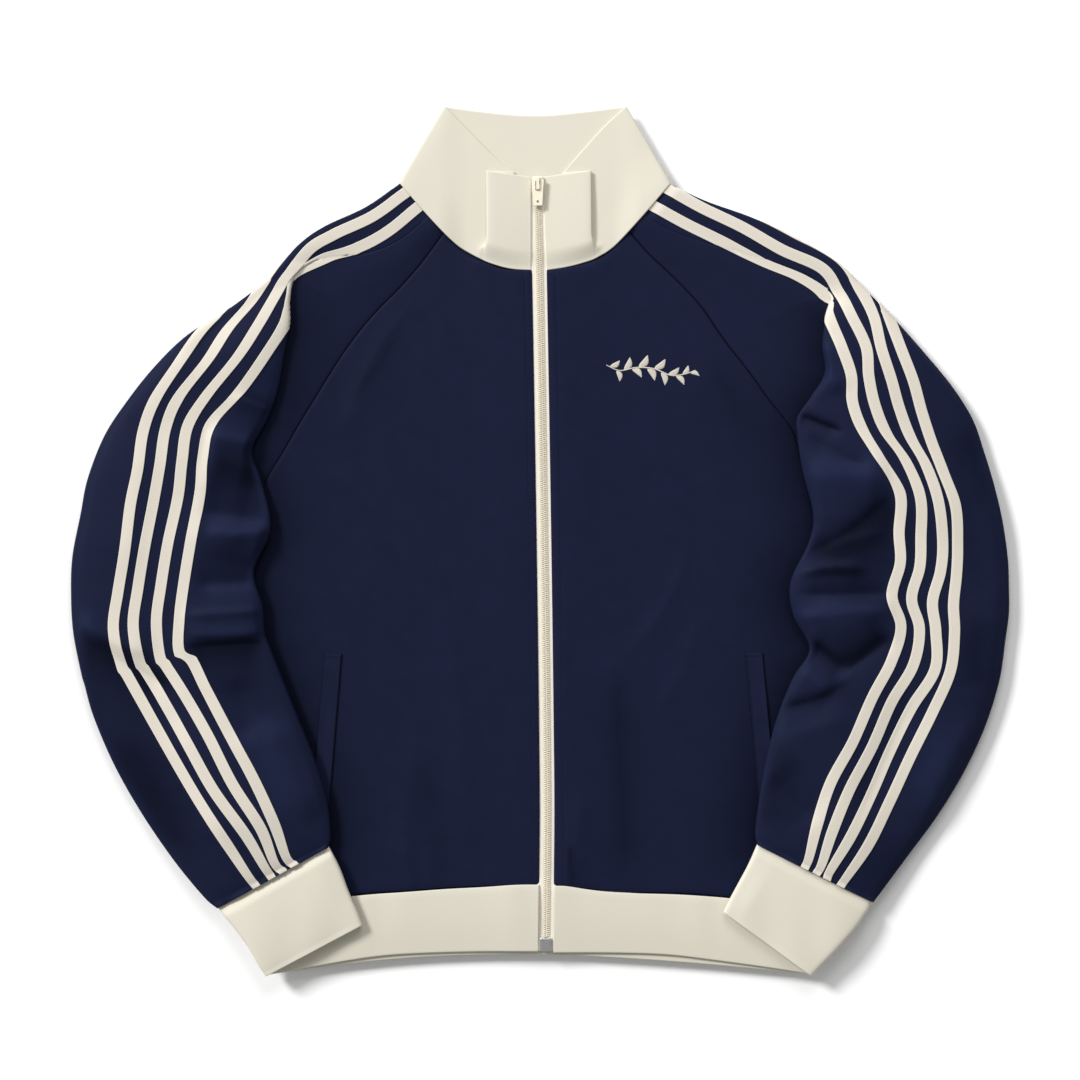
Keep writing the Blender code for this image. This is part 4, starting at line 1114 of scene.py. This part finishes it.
def tape_middles(rows, points, wanted, inner_at, outer_at):
    """Arc length of each tape's middle, [row, tape], from how far in from the outline it lies in plan."""
    places = between(np.array([row[-4:] for row in rows], float), ROWS_PER_SECTION)
    inner = between([(row.inner_x, row.inner_y) for row in rows], ROWS_PER_SECTION)
    outer = between([(row.outer_x, row.outer_y) for row in rows], ROWS_PER_SECTION)
    width = np.linalg.norm(outer - inner, axis=1, keepdims=True)
    out = (outer - inner) / width
    from_outer = ((outer[:, None] - points[..., :2]) * out[:, None]).sum(axis=-1)
    middles = np.empty_like(places)
    for row in range(len(places)):
        over = (wanted[row] >= inner_at[row]) & (wanted[row] <= outer_at[row])
        reach = np.maximum.accumulate(from_outer[row][over][::-1])
        middles[row] = np.interp(places[row], reach, wanted[row][over][::-1])
        behind = places[row] < 0
        middles[row][behind] = outer_at[row] - places[row][behind]
        turned = places[row] > width[row]
        middles[row][turned] = inner_at[row] - (places[row][turned] - width[row])
    return middles


def tape_strip(points, normals, wanted, middle, width, number, middles, slant):
    """A tape on the sleeve: its points are the sleeve's at even steps across, moved out along the normal.

    Where two tapes run into each other the outer one rides over the inner by up to its own thickness.
    """
    half_cloth = sizes().cloth_wall / MM / 2
    half_tape = sizes().tape_wall / MM / 2
    across = np.linspace(-0.5, 0.5, TAPE_COLUMNS)[None, :] * width[:, None]
    places = middle[:, None] - across * slant[:, None]
    carried = at_lengths(np.concatenate([points, normals], axis=2), wanted, places)
    over = np.zeros(len(middle))
    if number > 0:
        space = np.abs(middles[:, number] - middles[:, number - 1]) / slant
        over = (1 - smooth_step(width * 0.72, width * 1.06, space)) * (2 * half_tape + 0.15)
    away = half_cloth + half_tape + TAPE_GAP + over[:, None, None]
    return carried[..., :3] + unit(carried[..., 3:]) * away


SLEEVES = {
    "right": (RIGHT_RAGLAN, RIGHT_TUBE, RIGHT_SIDE, RIGHT_UNDERARM, RIGHT_SLEEVE_CREASES, RIGHT_SLEEVE_PAINTED_SHADES),
    "left": (LEFT_RAGLAN, LEFT_TUBE, LEFT_SIDE, LEFT_UNDERARM, LEFT_SLEEVE_CREASES, LEFT_SLEEVE_PAINTED_SHADES),
}


def sew_sleeves():
    """Each sleeve with its four tapes, which run straight over a slant and narrow by 0.24 into the cuff."""
    for name, sleeve_tables in SLEEVES.items():
        points, wanted, inner_at, outer_at, painted_shade = sleeve_surface(*sleeve_tables)
        rows = sleeve_tables[0] + sleeve_tables[1]
        middles = tape_middles(rows, points, wanted, inner_at, outer_at)
        normals = normals_of(points) * -way_of(name)
        lines = at_lengths(points, wanted, middles)
        ends = [(row.outer_x - row.inner_x, row.outer_y - row.inner_y) for row in rows]
        ends = unit(between(ends, ROWS_PER_SECTION))
        section = np.linspace(0, len(rows) - 1, len(points))
        narrow = 1 - 0.24 * smooth_step(len(rows) - 3.2, len(rows) - 1.6, section)
        width = sizes().tape_width / MM * narrow
        for number in range(4):
            run = unit(np.gradient(lines[:, number, :2], axis=0))
            slant = 1 / np.clip(np.abs(run[:, 0] * ends[:, 1] - run[:, 1] * ends[:, 0]), 0.84, 1)
            slant[: 2 * ROWS_PER_SECTION] = 1 / np.clip(1 / slant[: 2 * ROWS_PER_SECTION], 0.9, 1)
            strip = tape_strip(points, normals, wanted, middles[:, number], width, number, middles, slant)
            tape = cloth(f"tape_{name}_{number + 1}", finish_of(cream_tape), strip, sizes().tape_wall)
            node = f"sleeve_tape_{name}_{number + 1}"
            stand_for(node)
        # Painted shade in the raglan seam's groove, 2.25 mm wide along the sleeve's front edge
        navy = finish_of(navy_tricot, "navy_sleeve", 2.25)
        sleeve = cloth(f"sleeve_{name}_cloth", navy, points, sizes().cloth_wall, True, painted_shade)
        stand_for(f"sleeve_{name}")


# ------------------------------------------------------------------ ribs


def cuff_corners(row):
    """Control corners round a cuff, from its seam underneath: inner corner plus parts of its width."""
    inner, outer = np.array(row[0:2]), np.array(row[2:4])
    low, high = RIB_BACK_Z + 0.1, RIB_BACK_Z + CUFF_RISE
    ways = [(0.2, low), (0.12, low), (0.05, low), (0, low), (0, high - 0.5)]
    ways += [(0.1, high), (0.35, high), (0.65, high), (0.9, high), (1, high - 0.5), (1, low)]
    ways += [(0.95, low), (0.7, low), (0.4, low), (0.21, low)]
    return [(*(inner + (outer - inner) * part), z) for part, z in ways]


def sew_cuffs():
    """Each cuff is a flat tube: a B-spline round each of its rows, Catmull-Rom between them.

    Its top is raised by 1.2 sin(pi down) and a small wave, and dips by 2.2 at its seam.
    """
    sides = {
        "right": (RIGHT_CUFF, RIGHT_SIDE, RIGHT_UNDERARM, RIGHT_RAGLAN),
        "left": (LEFT_CUFF, LEFT_SIDE, LEFT_UNDERARM, LEFT_RAGLAN),
    }
    round_it = np.linspace(0, 1, CUFF_COLUMNS)[None, :]
    for name, (rows, side, underarm, raglan) in sides.items():
        dense = across_spline(between([cuff_corners(row) for row in rows], CUFF_STEPS))
        dense[..., 2] += over_body(dense, side, underarm, raglan)
        length = arc(dense, 1)
        points = at_lengths(dense, length, round_it * length[:, -1:])
        down = np.linspace(0, 1, len(points))[:, None]
        top = smooth_step(0.12, 0.2, round_it) * (1 - smooth_step(0.6, 0.68, round_it))
        wave = 0.35 * np.sin(points[..., 0] / 6.5) * down
        points[..., 2] += top * (1.2 * np.sin(np.pi * np.clip(down * 1.1, 0, 1)) + wave)
        sunk = smooth_step(0.07, 0.12, round_it) * (1 - smooth_step(0.62, 0.70, round_it))
        points[..., 2] -= sunk * CUFF_SUNK * (1 - smooth_step(0.04, 0.13, down))
        cuff = cloth(f"cuff_{name}_rib", finish_of(cream_rib, "cuff_rib", 0.975), points, sizes().rib_wall)
        stand_for(f"cuff_{name}")


def hem_line(part, seam, edge, way):
    """One side of the hem at that part of its height, from the zip out to the fold and in along the back."""
    line = []
    for top, bottom in zip(seam, edge):
        x = top.x + (bottom.x - top.x) * part
        y = top.y - SEAM_GAP + (bottom.y - top.y + SEAM_GAP) * part
        line.append((x, y, RIB_FRONT_Z))
    over_seam = HEM_OVER_SEAM * (1 - part)
    line[0] = (zip_x(line[0][1]) + way * sizes().zip_opening / MM, line[0][1] + over_seam, RIB_AT_ZIP_Z)
    line.insert(1, (way * 22, line[0][1], RIB_AT_ZIP_Z))
    line.append((*line[-1][:2], RIB_BACK_Z))
    line.append((way * 120, line[4][1] - 2, RIB_BACK_Z))
    return line


def sew_hem():
    """One band from the zip round the back to the zip again, folded at the body's sides.

    Its front is raised by 0.8 sin(pi down) and a ripple that fades out downwards.
    """
    lines, columns = HEM_GRID
    rows = []
    for part in np.linspace(0, 1, lines):
        right = hem_line(part, RIGHT_HEM_SEAM, RIGHT_HEM_EDGE, -1)
        left = hem_line(part, LEFT_HEM_SEAM, LEFT_HEM_EDGE, 1)
        rows.append(right + [(0, right[0][1] - 2, RIB_BACK_Z)] + left[::-1])
    dense = across_spline(np.array(rows, float))
    length = arc(dense, 1)
    even = np.linspace(0, 1, columns)[None, :] * length[:, -1:]
    points = at_lengths(dense, length, even)
    down = np.linspace(0, 1, len(points))[:, None]
    front = smooth_step(2.2, 3.2, points[..., 2])
    x = points[..., 0]
    ripple = np.sin(x / 9.0 + np.sin(x / 23.0) * 2) * 0.22 * (1 - down)
    at_seam = 0.35 * (1 - smooth_step(0, 0.08, down))
    points[..., 2] += front * (ripple + 0.8 * np.sin(np.pi * down) - at_seam)
    hem = cloth("hem_rib", finish_of(cream_rib, "hem_rib", 0.94), points, sizes().rib_wall)
    stand_for("hem")


def collar_height(layer, part):
    """Layers of the collar open out from the neck seam, where the front is one layer on the back."""
    if layer <= 1:
        return RIB_BACK_Z + layer * (COLLAR_STEP + 0.3 * part)
    opened = smooth_step(0.0, PLEAT_STARTS, part)
    full = RIB_BACK_Z + layer * COLLAR_STEP
    return RIB_BACK_Z + COLLAR_STEP + (full + 0.5 - RIB_BACK_Z - COLLAR_STEP) * opened


def sew_collar():
    """The band is folded into a box pleat round the zip: straight lines from seam to edge, splined across.

    Its front is raised by 0.7 sin(pi part), and by up to 3 more where it lies on the sleeves' ends.
    """
    pleats = [RIGHT_COLLAR[i] for i in PLEAT_LINES] + [LEFT_COLLAR[i] for i in PLEAT_LINES]
    before_pleat = np.linspace(0, PLEAT_STARTS, 14, endpoint=False)
    rows = []
    for part in np.concatenate([before_pleat, np.linspace(PLEAT_STARTS, 1, 40)]):
        row = []
        for line in RIGHT_COLLAR + [COLLAR_BACK] + LEFT_COLLAR[::-1]:
            slide = part
            if line in pleats:
                slide = max(part, smooth_step(0.04, PLEAT_STARTS + 0.1, part))
            x = line.seam_x + (line.edge_x - line.seam_x) * slide
            y = line.seam_y + (line.edge_y - line.seam_y) * part
            row.append((x, y, collar_height(line.layer, part)))
        rows.append(row)
    dense = across_spline(np.array(rows, float), COLLAR_STEPS)
    part = np.linspace(0, 1, len(dense))[:, None]
    dense[..., 2] += 0.7 * np.sin(np.pi * part) * smooth_step(2.6, 3.4, dense[..., 2])
    at_shoulder = smooth_step(62, 86, np.abs(dense[..., 0])) * (1 - 0.7 * smooth_step(0, 0.6, part))
    dense[..., 2] += OVER_SHOULDER * at_shoulder * smooth_step(1.2, 2.4, dense[..., 2])
    collar = cloth("collar_rib", finish_of(cream_rib, "collar_rib", 0.985), dense, sizes().rib_wall)
    stand_for("collar")


# ------------------------------------------------------------------ zip


def ring_quads(count):
    """The vertex numbers of that many small bars, [bar, station, side], and the quads round each."""
    number = np.arange(count * STATIONS * RING).reshape(count, STATIONS, RING)
    wrapped = np.concatenate([number, number[..., :1]], axis=2)
    a, b = wrapped[:, :-1, :-1], wrapped[:, :-1, 1:]
    c, d = wrapped[:, 1:, 1:], wrapped[:, 1:, :-1]
    return number, np.stack([a, b, c, d], axis=-1)


def zip_z(y):
    """Middle of the zip's tapes: on the back, over the hem's inner side, and up with the collar's front."""
    on_hem = 0.75 * (1 - smooth_step(-300, -285, y))
    in_collar = 1.5 * smooth_step(231, 250, y)
    return 2.5 + on_hem + in_collar


def sew_zip():
    """The zip's two tapes, flat strips either side of its middle line, and its coil."""
    ys = np.linspace(*ZIP_TAPE_ENDS, 300)
    across = np.linspace(*ZIP_TAPE_EDGES, TAPE_COLUMNS)[None, :]
    z = zip_z(ys)[:, None] + 0.25 * (1 - smooth_step(0, 3, across))
    for name in ("right", "left"):
        way = way_of(name)
        x = zip_x(ys)[:, None] + way * across
        points = np.dstack([x, ys[:, None] + 0 * across, z])
        if way < 0:
            points = points[:, ::-1]
        tape = cloth("zip_tape_" + name + "_weave", finish_of(zip_weave), points, 0.0007)
        stand_for("zip_tape_" + name)
    teeth()


def teeth():
    """The coil: flattened loops, each a bar bowed over the middle line, set left and right in turn.

    Bar k is at start + k pitch / 2; along it x = way (3.3 t - 0.55), z = top - 0.5 t^2, and round it a
    flat ellipse of six points, 0.44 by 0.42 and thinner at both ends.
    """
    pitch = sizes().tooth_pitch / MM
    start, end = COIL_ENDS
    count = int((end - start) / (pitch / 2))
    y0 = start + np.arange(count) * pitch / 2
    way = np.where(np.arange(count) % 2, 1.0, -1.0)
    t = np.linspace(0, 1, STATIONS)
    turn = np.linspace(0, 2 * np.pi, RING + 1)[:-1]
    thick = np.array([0.25, 0.9, 1.0, 1.0, 0.75])
    along = (way[:, None] * (3.3 * t - 0.55)[None, :])[..., None]
    x = zip_x(y0)[:, None, None] + along + 0 * turn
    y = y0[:, None, None] + (0.44 * thick[:, None] * np.cos(turn)[None, :])[None] + 0 * along
    top = zip_z(y0)[:, None, None] + 1.75 - 0.5 * (t**2)[None, :, None]
    z = top + (0.42 * thick[:, None] * np.sin(turn)[None, :])[None]
    vertices = np.stack([x, y, z], axis=-1).reshape(-1, 3)
    number, quads = ring_quads(count)
    quads[way > 0] = quads[way > 0][..., ::-1]
    caps = []
    for ring, first in ((number[:, 0], True), (number[:, -1], False)):
        cap = np.stack([ring[:, [0, 1, 2, 3]], ring[:, [0, 3, 4, 5]]], axis=1)
        caps.append(np.where(((way > 0) == first)[:, None, None], cap[..., ::-1], cap))
    quads = np.concatenate([quads.reshape(-1, 4)] + [cap.reshape(-1, 4) for cap in caps])
    plastic = finish_of(coil_plastic, "coil_plastic")
    coil = add_mesh("zip_teeth", plastic, vertices * MM, quads, vertices[:, :2] * MM)
    stand_for("zip_coil")


# ------------------------------------------------------------------ stitches


def stitches(path, length, gap, radius):
    """A row of small rounded stitches along a path: each is a ring of six carried over five stations.

    Station s of a stitch lies at its start plus s length, sunk at both ends by radius (4 s (1 - s) - 0.6).
    """
    known = arc(path, 0)
    count = max(int(known[-1] / (length + gap)), 1)
    start = np.arange(count) * (length + gap) + gap / 2
    s = np.linspace(0, 1, STATIONS)
    at = start[:, None] + s[None, :] * length
    centre = np.stack([np.interp(at, known, column) for column in path.T], axis=-1)
    run = unit(centre[:, -1] - centre[:, 0])[:, None, :]
    side = unit(np.cross(run, np.array([0.0, 0.0, 1.0])))
    up = np.cross(side, run)
    turn = np.linspace(0, 2 * np.pi, RING + 1)[:-1]
    swell = np.array([0.35, 0.9, 1.0, 0.9, 0.35])[None, :, None, None]
    ring = side[:, :, None] * np.cos(turn)[:, None] + up[:, :, None] * np.sin(turn)[:, None]
    centre = centre + up * (radius * (4 * s * (1 - s) - 0.6))[None, :, None]
    vertices = (centre[:, :, None] + ring * swell * radius).reshape(-1, 3)
    number, quads = ring_quads(count)
    first, last = number[:, 0], number[:, -1]
    caps = [first[:, [3, 2, 1, 0]], first[:, [5, 4, 3, 0]], last[:, [0, 1, 2, 3]], last[:, [0, 3, 4, 5]]]
    quads = np.concatenate([quads.reshape(-1, 4)] + caps)
    across = np.tile(turn / np.pi, count * STATIONS)
    up_map = np.repeat(at.ravel(), RING)
    return vertices, quads[:, ::-1], np.stack([across, up_map], axis=-1) * MM


def joined_stitches(name, material, rows):
    """All the rows of stitches of one thread as one mesh."""
    vertices, quads, maps, total = [], [], [], 0
    for row in rows:
        points, faces, flat = stitches(*row)
        vertices.append(points)
        quads.append(faces + total)
        maps.append(flat)
        total += len(points)
    vertices = np.concatenate(vertices) * MM
    return add_mesh(name, material, vertices, np.concatenate(quads), np.concatenate(maps))


def on_front(xs, ys, above):
    """A path that high above the fronts' middle surface."""
    return np.stack([xs, ys, front_height(xs, ys) + above], axis=-1)


def sew_stitches():
    """Rows of stitches, as (path, length, gap, radius): beside the zip, and down and across each welt."""
    length = sizes().stitch_length / MM
    navy = finish_of(thread, "navy_thread", shade(tuple(colours().navy), 0.9))
    rows = []
    ys = np.linspace(-291, 227, 400)
    for way in (-1, 1):
        xs = zip_x(ys) + way * (sizes().zip_opening / MM + 7.0)
        rows.append((on_front(xs, ys, 0.42), length, 0.5, 0.17))
    for side in WELTS:
        path = on_front(*welt_plan(side, -0.42, np.linspace(0.01, 0.99, 60)), WELT_THREAD_Z)
        rows.append((path, length, 0.5, 0.17))
        for down in (0.02, 0.98):
            path = on_front(*welt_plan(side, np.linspace(-0.46, 0.46, 12), down), WELT_THREAD_Z)
            rows.append((path, 1.2, 0.15, 0.2))
    thread_rows = joined_stitches("navy_topstitch", navy, rows)


# ------------------------------------------------------------------ sprig

# Leaves of the embroidered sprig: where each starts along the stem, how far it leans out in degrees, its
# length and its greatest width. The stem runs from its left end to its right one, 76 mm on.
Leaf = namedtuple("Leaf", "along lean length width")
SPRIG_MIDDLE = (94.0, 144.0)
SPRIG_TILT = -6.0
STEM_POINTS = 160
STEM_HALF = 0.62
LEAF_ROWS = 26
LEAF_RISE = 0.75
SPRIG_STEM = [(-38, 1.0), (-26, -2.5), (-12, 1.5), (3, 2.0), (18, -2.0), (30, 0.5), (38, 4.5)]
LEAVES = [
    Leaf(0.05, 60, 9.5, 4.6),
    Leaf(0.13, -58, 9.5, 4.6),
    Leaf(0.21, 55, 11.5, 5.4),
    Leaf(0.29, -55, 11.0, 5.2),
    Leaf(0.37, 52, 12.5, 5.8),
    Leaf(0.46, -54, 12.0, 5.6),
    Leaf(0.54, 54, 12.0, 5.6),
    Leaf(0.62, -50, 11.5, 5.2),
    Leaf(0.70, 52, 10.5, 5.0),
    Leaf(0.78, -50, 10.0, 4.6),
    Leaf(0.86, 46, 8.5, 4.2),
    Leaf(0.94, -42, 8.0, 3.8),
]


def embroider():
    """A leafy sprig in satin stitch: domed leaves on a round stem, with threads across each leaf.

    A leaf's half width is sin(pi t^0.85)^0.8 of its greatest, its middle bends by 0.16 length sin(pi t), and
    its height is 0.75 sin(angle) less a vein along its middle.
    """
    tilt = math.radians(SPRIG_TILT)
    turn = np.array([[math.cos(tilt), -math.sin(tilt)], [math.sin(tilt), math.cos(tilt)]])
    stem = along_curve(SPRIG_STEM, np.linspace(0, 1, STEM_POINTS))
    run = unit(np.gradient(stem, axis=0))
    vertices, quads, maps, total = [], [], [], 0

    def place(plan, rise):
        """The plan turned and set on the front, and its rise over it."""
        flat = plan @ turn.T + np.array(SPRIG_MIDDLE)
        z = front_height(flat[..., 0], flat[..., 1]) + 0.42 + rise
        return np.concatenate([flat, z[..., None]], axis=-1)

    def add(points, up):
        """A domed strip, closed underneath between its two long edges."""
        nonlocal total
        rows, columns = points.shape[:2]
        number = np.arange(rows * columns).reshape(rows, columns)
        vertices.append(points.reshape(-1, 3))
        quads.append(quads_of(number) + total)
        quads.append(quads_of(np.stack([number[:, 0], number[:, -1]], axis=1))[:, ::-1] + total)
        across, up = np.broadcast_arrays(np.linspace(0, 2, columns)[None], up[:, None])
        maps.append(np.stack([across, up], axis=-1).reshape(-1, 2) * MM)
        total += rows * columns

    angle = np.linspace(0, np.pi, 9)[None, :]
    swell = np.sin(np.pi * np.linspace(0.04, 0.96, STEM_POINTS)) ** 0.4
    half = STEM_HALF * (0.35 + 0.65 * swell)[:, None]
    normal = np.stack([run[:, 1], -run[:, 0]], axis=-1)
    plan = stem[:, None] + normal[:, None] * (half * np.cos(angle))[..., None]
    add(place(plan, half * 1.1 * np.sin(angle)), arc(stem, 0))
    for leaf in LEAVES:
        i = int(leaf.along * (STEM_POINTS - 1))
        lean = math.radians(leaf.lean)
        way = np.array([
            run[i, 0] * math.cos(lean) - run[i, 1] * math.sin(lean),
            run[i, 0] * math.sin(lean) + run[i, 1] * math.cos(lean),
        ])
        side = np.array([way[1], -way[0]])
        t = np.linspace(0, 1, LEAF_ROWS)
        bend = 0.16 * leaf.length * np.sin(np.pi * t) * np.sign(leaf.lean)
        line = stem[i] + way * (0.5 + t * leaf.length)[:, None] + side * bend[:, None]
        width = leaf.width / 2 * np.sin(np.pi * np.clip(t, 0.02, 0.985) ** 0.85) ** 0.8
        spread = width[:, None] * np.cos(angle)
        plan = line[:, None] + side * spread[..., None]
        vein = 0.25 * np.exp(-((np.cos(angle) / 0.16) ** 2))
        rise = (LEAF_RISE * np.sin(angle) - vein) * (width / (leaf.width / 2))[:, None]
        add(place(plan, rise), t * leaf.length)
    vertices = np.concatenate(vertices) * MM
    quads, maps = np.concatenate(quads), np.concatenate(maps)
    sprig = add_mesh("chest_sprig", finish_of(satin_thread), vertices, quads, maps)


# ------------------------------------------------------------------ stage


# In metres and degrees. A lamp's turn is about X and then Y.
FLOOR_Z = -0.007
FLOOR_EDGE = 9
FLOOR_TONE = (0.96, 0.96, 0.96, 1)
SKY_STRENGTH = 0.37
TOP_SIZE, TOP_ENERGY, TOP_PLACE, TOP_TURN = 1.6, 34, (0.25, 2.3, 1.9), (-50, 0)
SUN_ANGLE, SUN_ENERGY, SUN_TURN = 15, 3.6, (-32, -53)
LENS, SENSOR = 85, 36
VIEW_WIDTH = 0.918  # of what the camera sees at VIEW_Z
VIEW_Z = 0.006


def add_to_stage(name, data, place=(0, 0, 0), turn=(0, 0)):
    """A lamp or camera at its place, turned by so many degrees about X and Y."""
    made = bpy.data.objects.new(name, data)
    made.location = place
    made.rotation_euler = (math.radians(turn[0]), math.radians(turn[1]), 0)
    bpy.context.scene.collection.objects.link(made)
    return made


def set_stage():
    """A pale floor, an even sky, a soft lamp above the collar, a low sun, and the camera straight above."""
    scene = bpy.context.scene
    scene.view_settings.view_transform = "Standard"
    mesh = bpy.data.meshes.new("floor")
    corners = [(x * FLOOR_EDGE, y * FLOOR_EDGE, FLOOR_Z) for x, y in ((-1, -1), (1, -1), (1, 1), (-1, 1))]
    mesh.from_pydata(corners, [], [(0, 1, 2, 3)])
    floor = bpy.data.objects.new("floor", mesh)
    scene.collection.objects.link(floor)
    mesh.materials.append(Finish("pale_floor").close(FLOOR_TONE, 0.9, specular_ior_level=0.1))

    world = bpy.data.worlds.new("studio")
    scene.world = world
    world.use_nodes = True
    sky = world.node_tree.nodes["Background"]
    sky.inputs["Color"].default_value = (1, 1, 1, 1)
    sky.inputs["Strength"].default_value = SKY_STRENGTH

    top = bpy.data.lights.new("top", "AREA")
    top.shape = "DISK"
    top.size = TOP_SIZE
    top.energy = TOP_ENERGY
    add_to_stage("top", top, TOP_PLACE, TOP_TURN)

    key = bpy.data.lights.new("key", "SUN")
    key.energy = SUN_ENERGY
    key.angle = math.radians(SUN_ANGLE)
    add_to_stage("key", key, turn=SUN_TURN)

    camera = bpy.data.cameras.new("camera")
    camera.lens = LENS
    camera.sensor_width = SENSOR
    scene.camera = add_to_stage("camera", camera, (0, 0, VIEW_WIDTH * LENS / SENSOR + VIEW_Z))


# ------------------------------------------------------------------ operators


class JACKET_OT_body(bpy.types.Operator):
    """Sews the back and both fronts"""

    bl_idname = "jacket.body"
    bl_label = "Back and fronts"

    def execute(self, context):
        sew_body()
        return {"FINISHED"}


class JACKET_OT_pockets(bpy.types.Operator):
    """Sews a welt on each pocket"""

    bl_idname = "jacket.pockets"
    bl_label = "Pocket welts"

    def execute(self, context):
        sew_welts()
        return {"FINISHED"}


class JACKET_OT_sleeves(bpy.types.Operator):
    """Sews both sleeves with their tapes"""

    bl_idname = "jacket.sleeves"
    bl_label = "Sleeves and tapes"

    def execute(self, context):
        sew_sleeves()
        return {"FINISHED"}


class JACKET_OT_ribs(bpy.types.Operator):
    """Knits the hem, the cuffs and the collar"""

    bl_idname = "jacket.ribs"
    bl_label = "Hem, cuffs and collar"

    def execute(self, context):
        sew_hem()
        sew_cuffs()
        sew_collar()
        return {"FINISHED"}


class JACKET_OT_zip(bpy.types.Operator):
    """Sets in the zip and finishes its metal and plastic"""

    bl_idname = "jacket.zip"
    bl_label = "Zip"

    def execute(self, context):
        sew_zip()
        paint = {
            "zip_slider": finish_of(coil_plastic, "slider_paint", 0.3),
            "zip_pull": finish_of(coil_plastic, "pull_paint", 0.28),
            "zip_box": finish_of(silver_metal),
        }
        for node, material in paint.items():
            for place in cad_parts[node].material_slots:
                place.material = material
        return {"FINISHED"}


class JACKET_OT_stitches(bpy.types.Operator):
    """Topstitches the fronts and the pocket welts"""

    bl_idname = "jacket.stitches"
    bl_label = "Topstitching"

    def execute(self, context):
        sew_stitches()
        return {"FINISHED"}


class JACKET_OT_sprig(bpy.types.Operator):
    """Embroiders a leafy sprig on the wearer's left chest"""

    bl_idname = "jacket.sprig"
    bl_label = "Embroidered sprig"

    def execute(self, context):
        embroider()
        return {"FINISHED"}


class JACKET_OT_stage(bpy.types.Operator):
    """Sets the floor, the light and the camera"""

    bl_idname = "jacket.stage"
    bl_label = "Floor, light and camera"

    def execute(self, context):
        set_stage()
        return {"FINISHED"}


OPERATORS = (
    JACKET_OT_body,
    JACKET_OT_pockets,
    JACKET_OT_sleeves,
    JACKET_OT_ribs,
    JACKET_OT_zip,
    JACKET_OT_stitches,
    JACKET_OT_sprig,
    JACKET_OT_stage,
)


class JACKET_PT_panel(bpy.types.Panel):
    """The jacket's steps, sizes and colours"""

    bl_idname = "JACKET_PT_panel"
    bl_label = "Track jacket"
    bl_space_type = "VIEW_3D"
    bl_region_type = "UI"
    bl_category = "Jacket"

    def draw(self, context):
        for operator in OPERATORS:
            self.layout.operator(operator.bl_idname)
        for settings in (sizes(), colours()):
            for name in settings.__annotations__:
                self.layout.prop(settings, name)


CLASSES = (JacketSizes, JacketColours, *OPERATORS, JACKET_PT_panel)


def register():
    """Registers the classes, and hangs the settings on the scene."""
    for made in CLASSES:
        bpy.utils.register_class(made)
    bpy.types.Scene.jacket_sizes = bpy.props.PointerProperty(type=JacketSizes)
    bpy.types.Scene.jacket_colours = bpy.props.PointerProperty(type=JacketColours)


def unregister():
    """Takes back what register did."""
    del bpy.types.Scene.jacket_colours
    del bpy.types.Scene.jacket_sizes
    for made in reversed(CLASSES):
        bpy.utils.unregister_class(made)


def main():
    """Makes every piece in order."""
    register()
    bpy.ops.jacket.body()
    bpy.ops.jacket.pockets()
    bpy.ops.jacket.sleeves()
    bpy.ops.jacket.ribs()
    bpy.ops.jacket.zip()
    bpy.ops.jacket.stitches()
    bpy.ops.jacket.sprig()
    bpy.ops.jacket.stage()


if __name__ == "__main__":
    main()
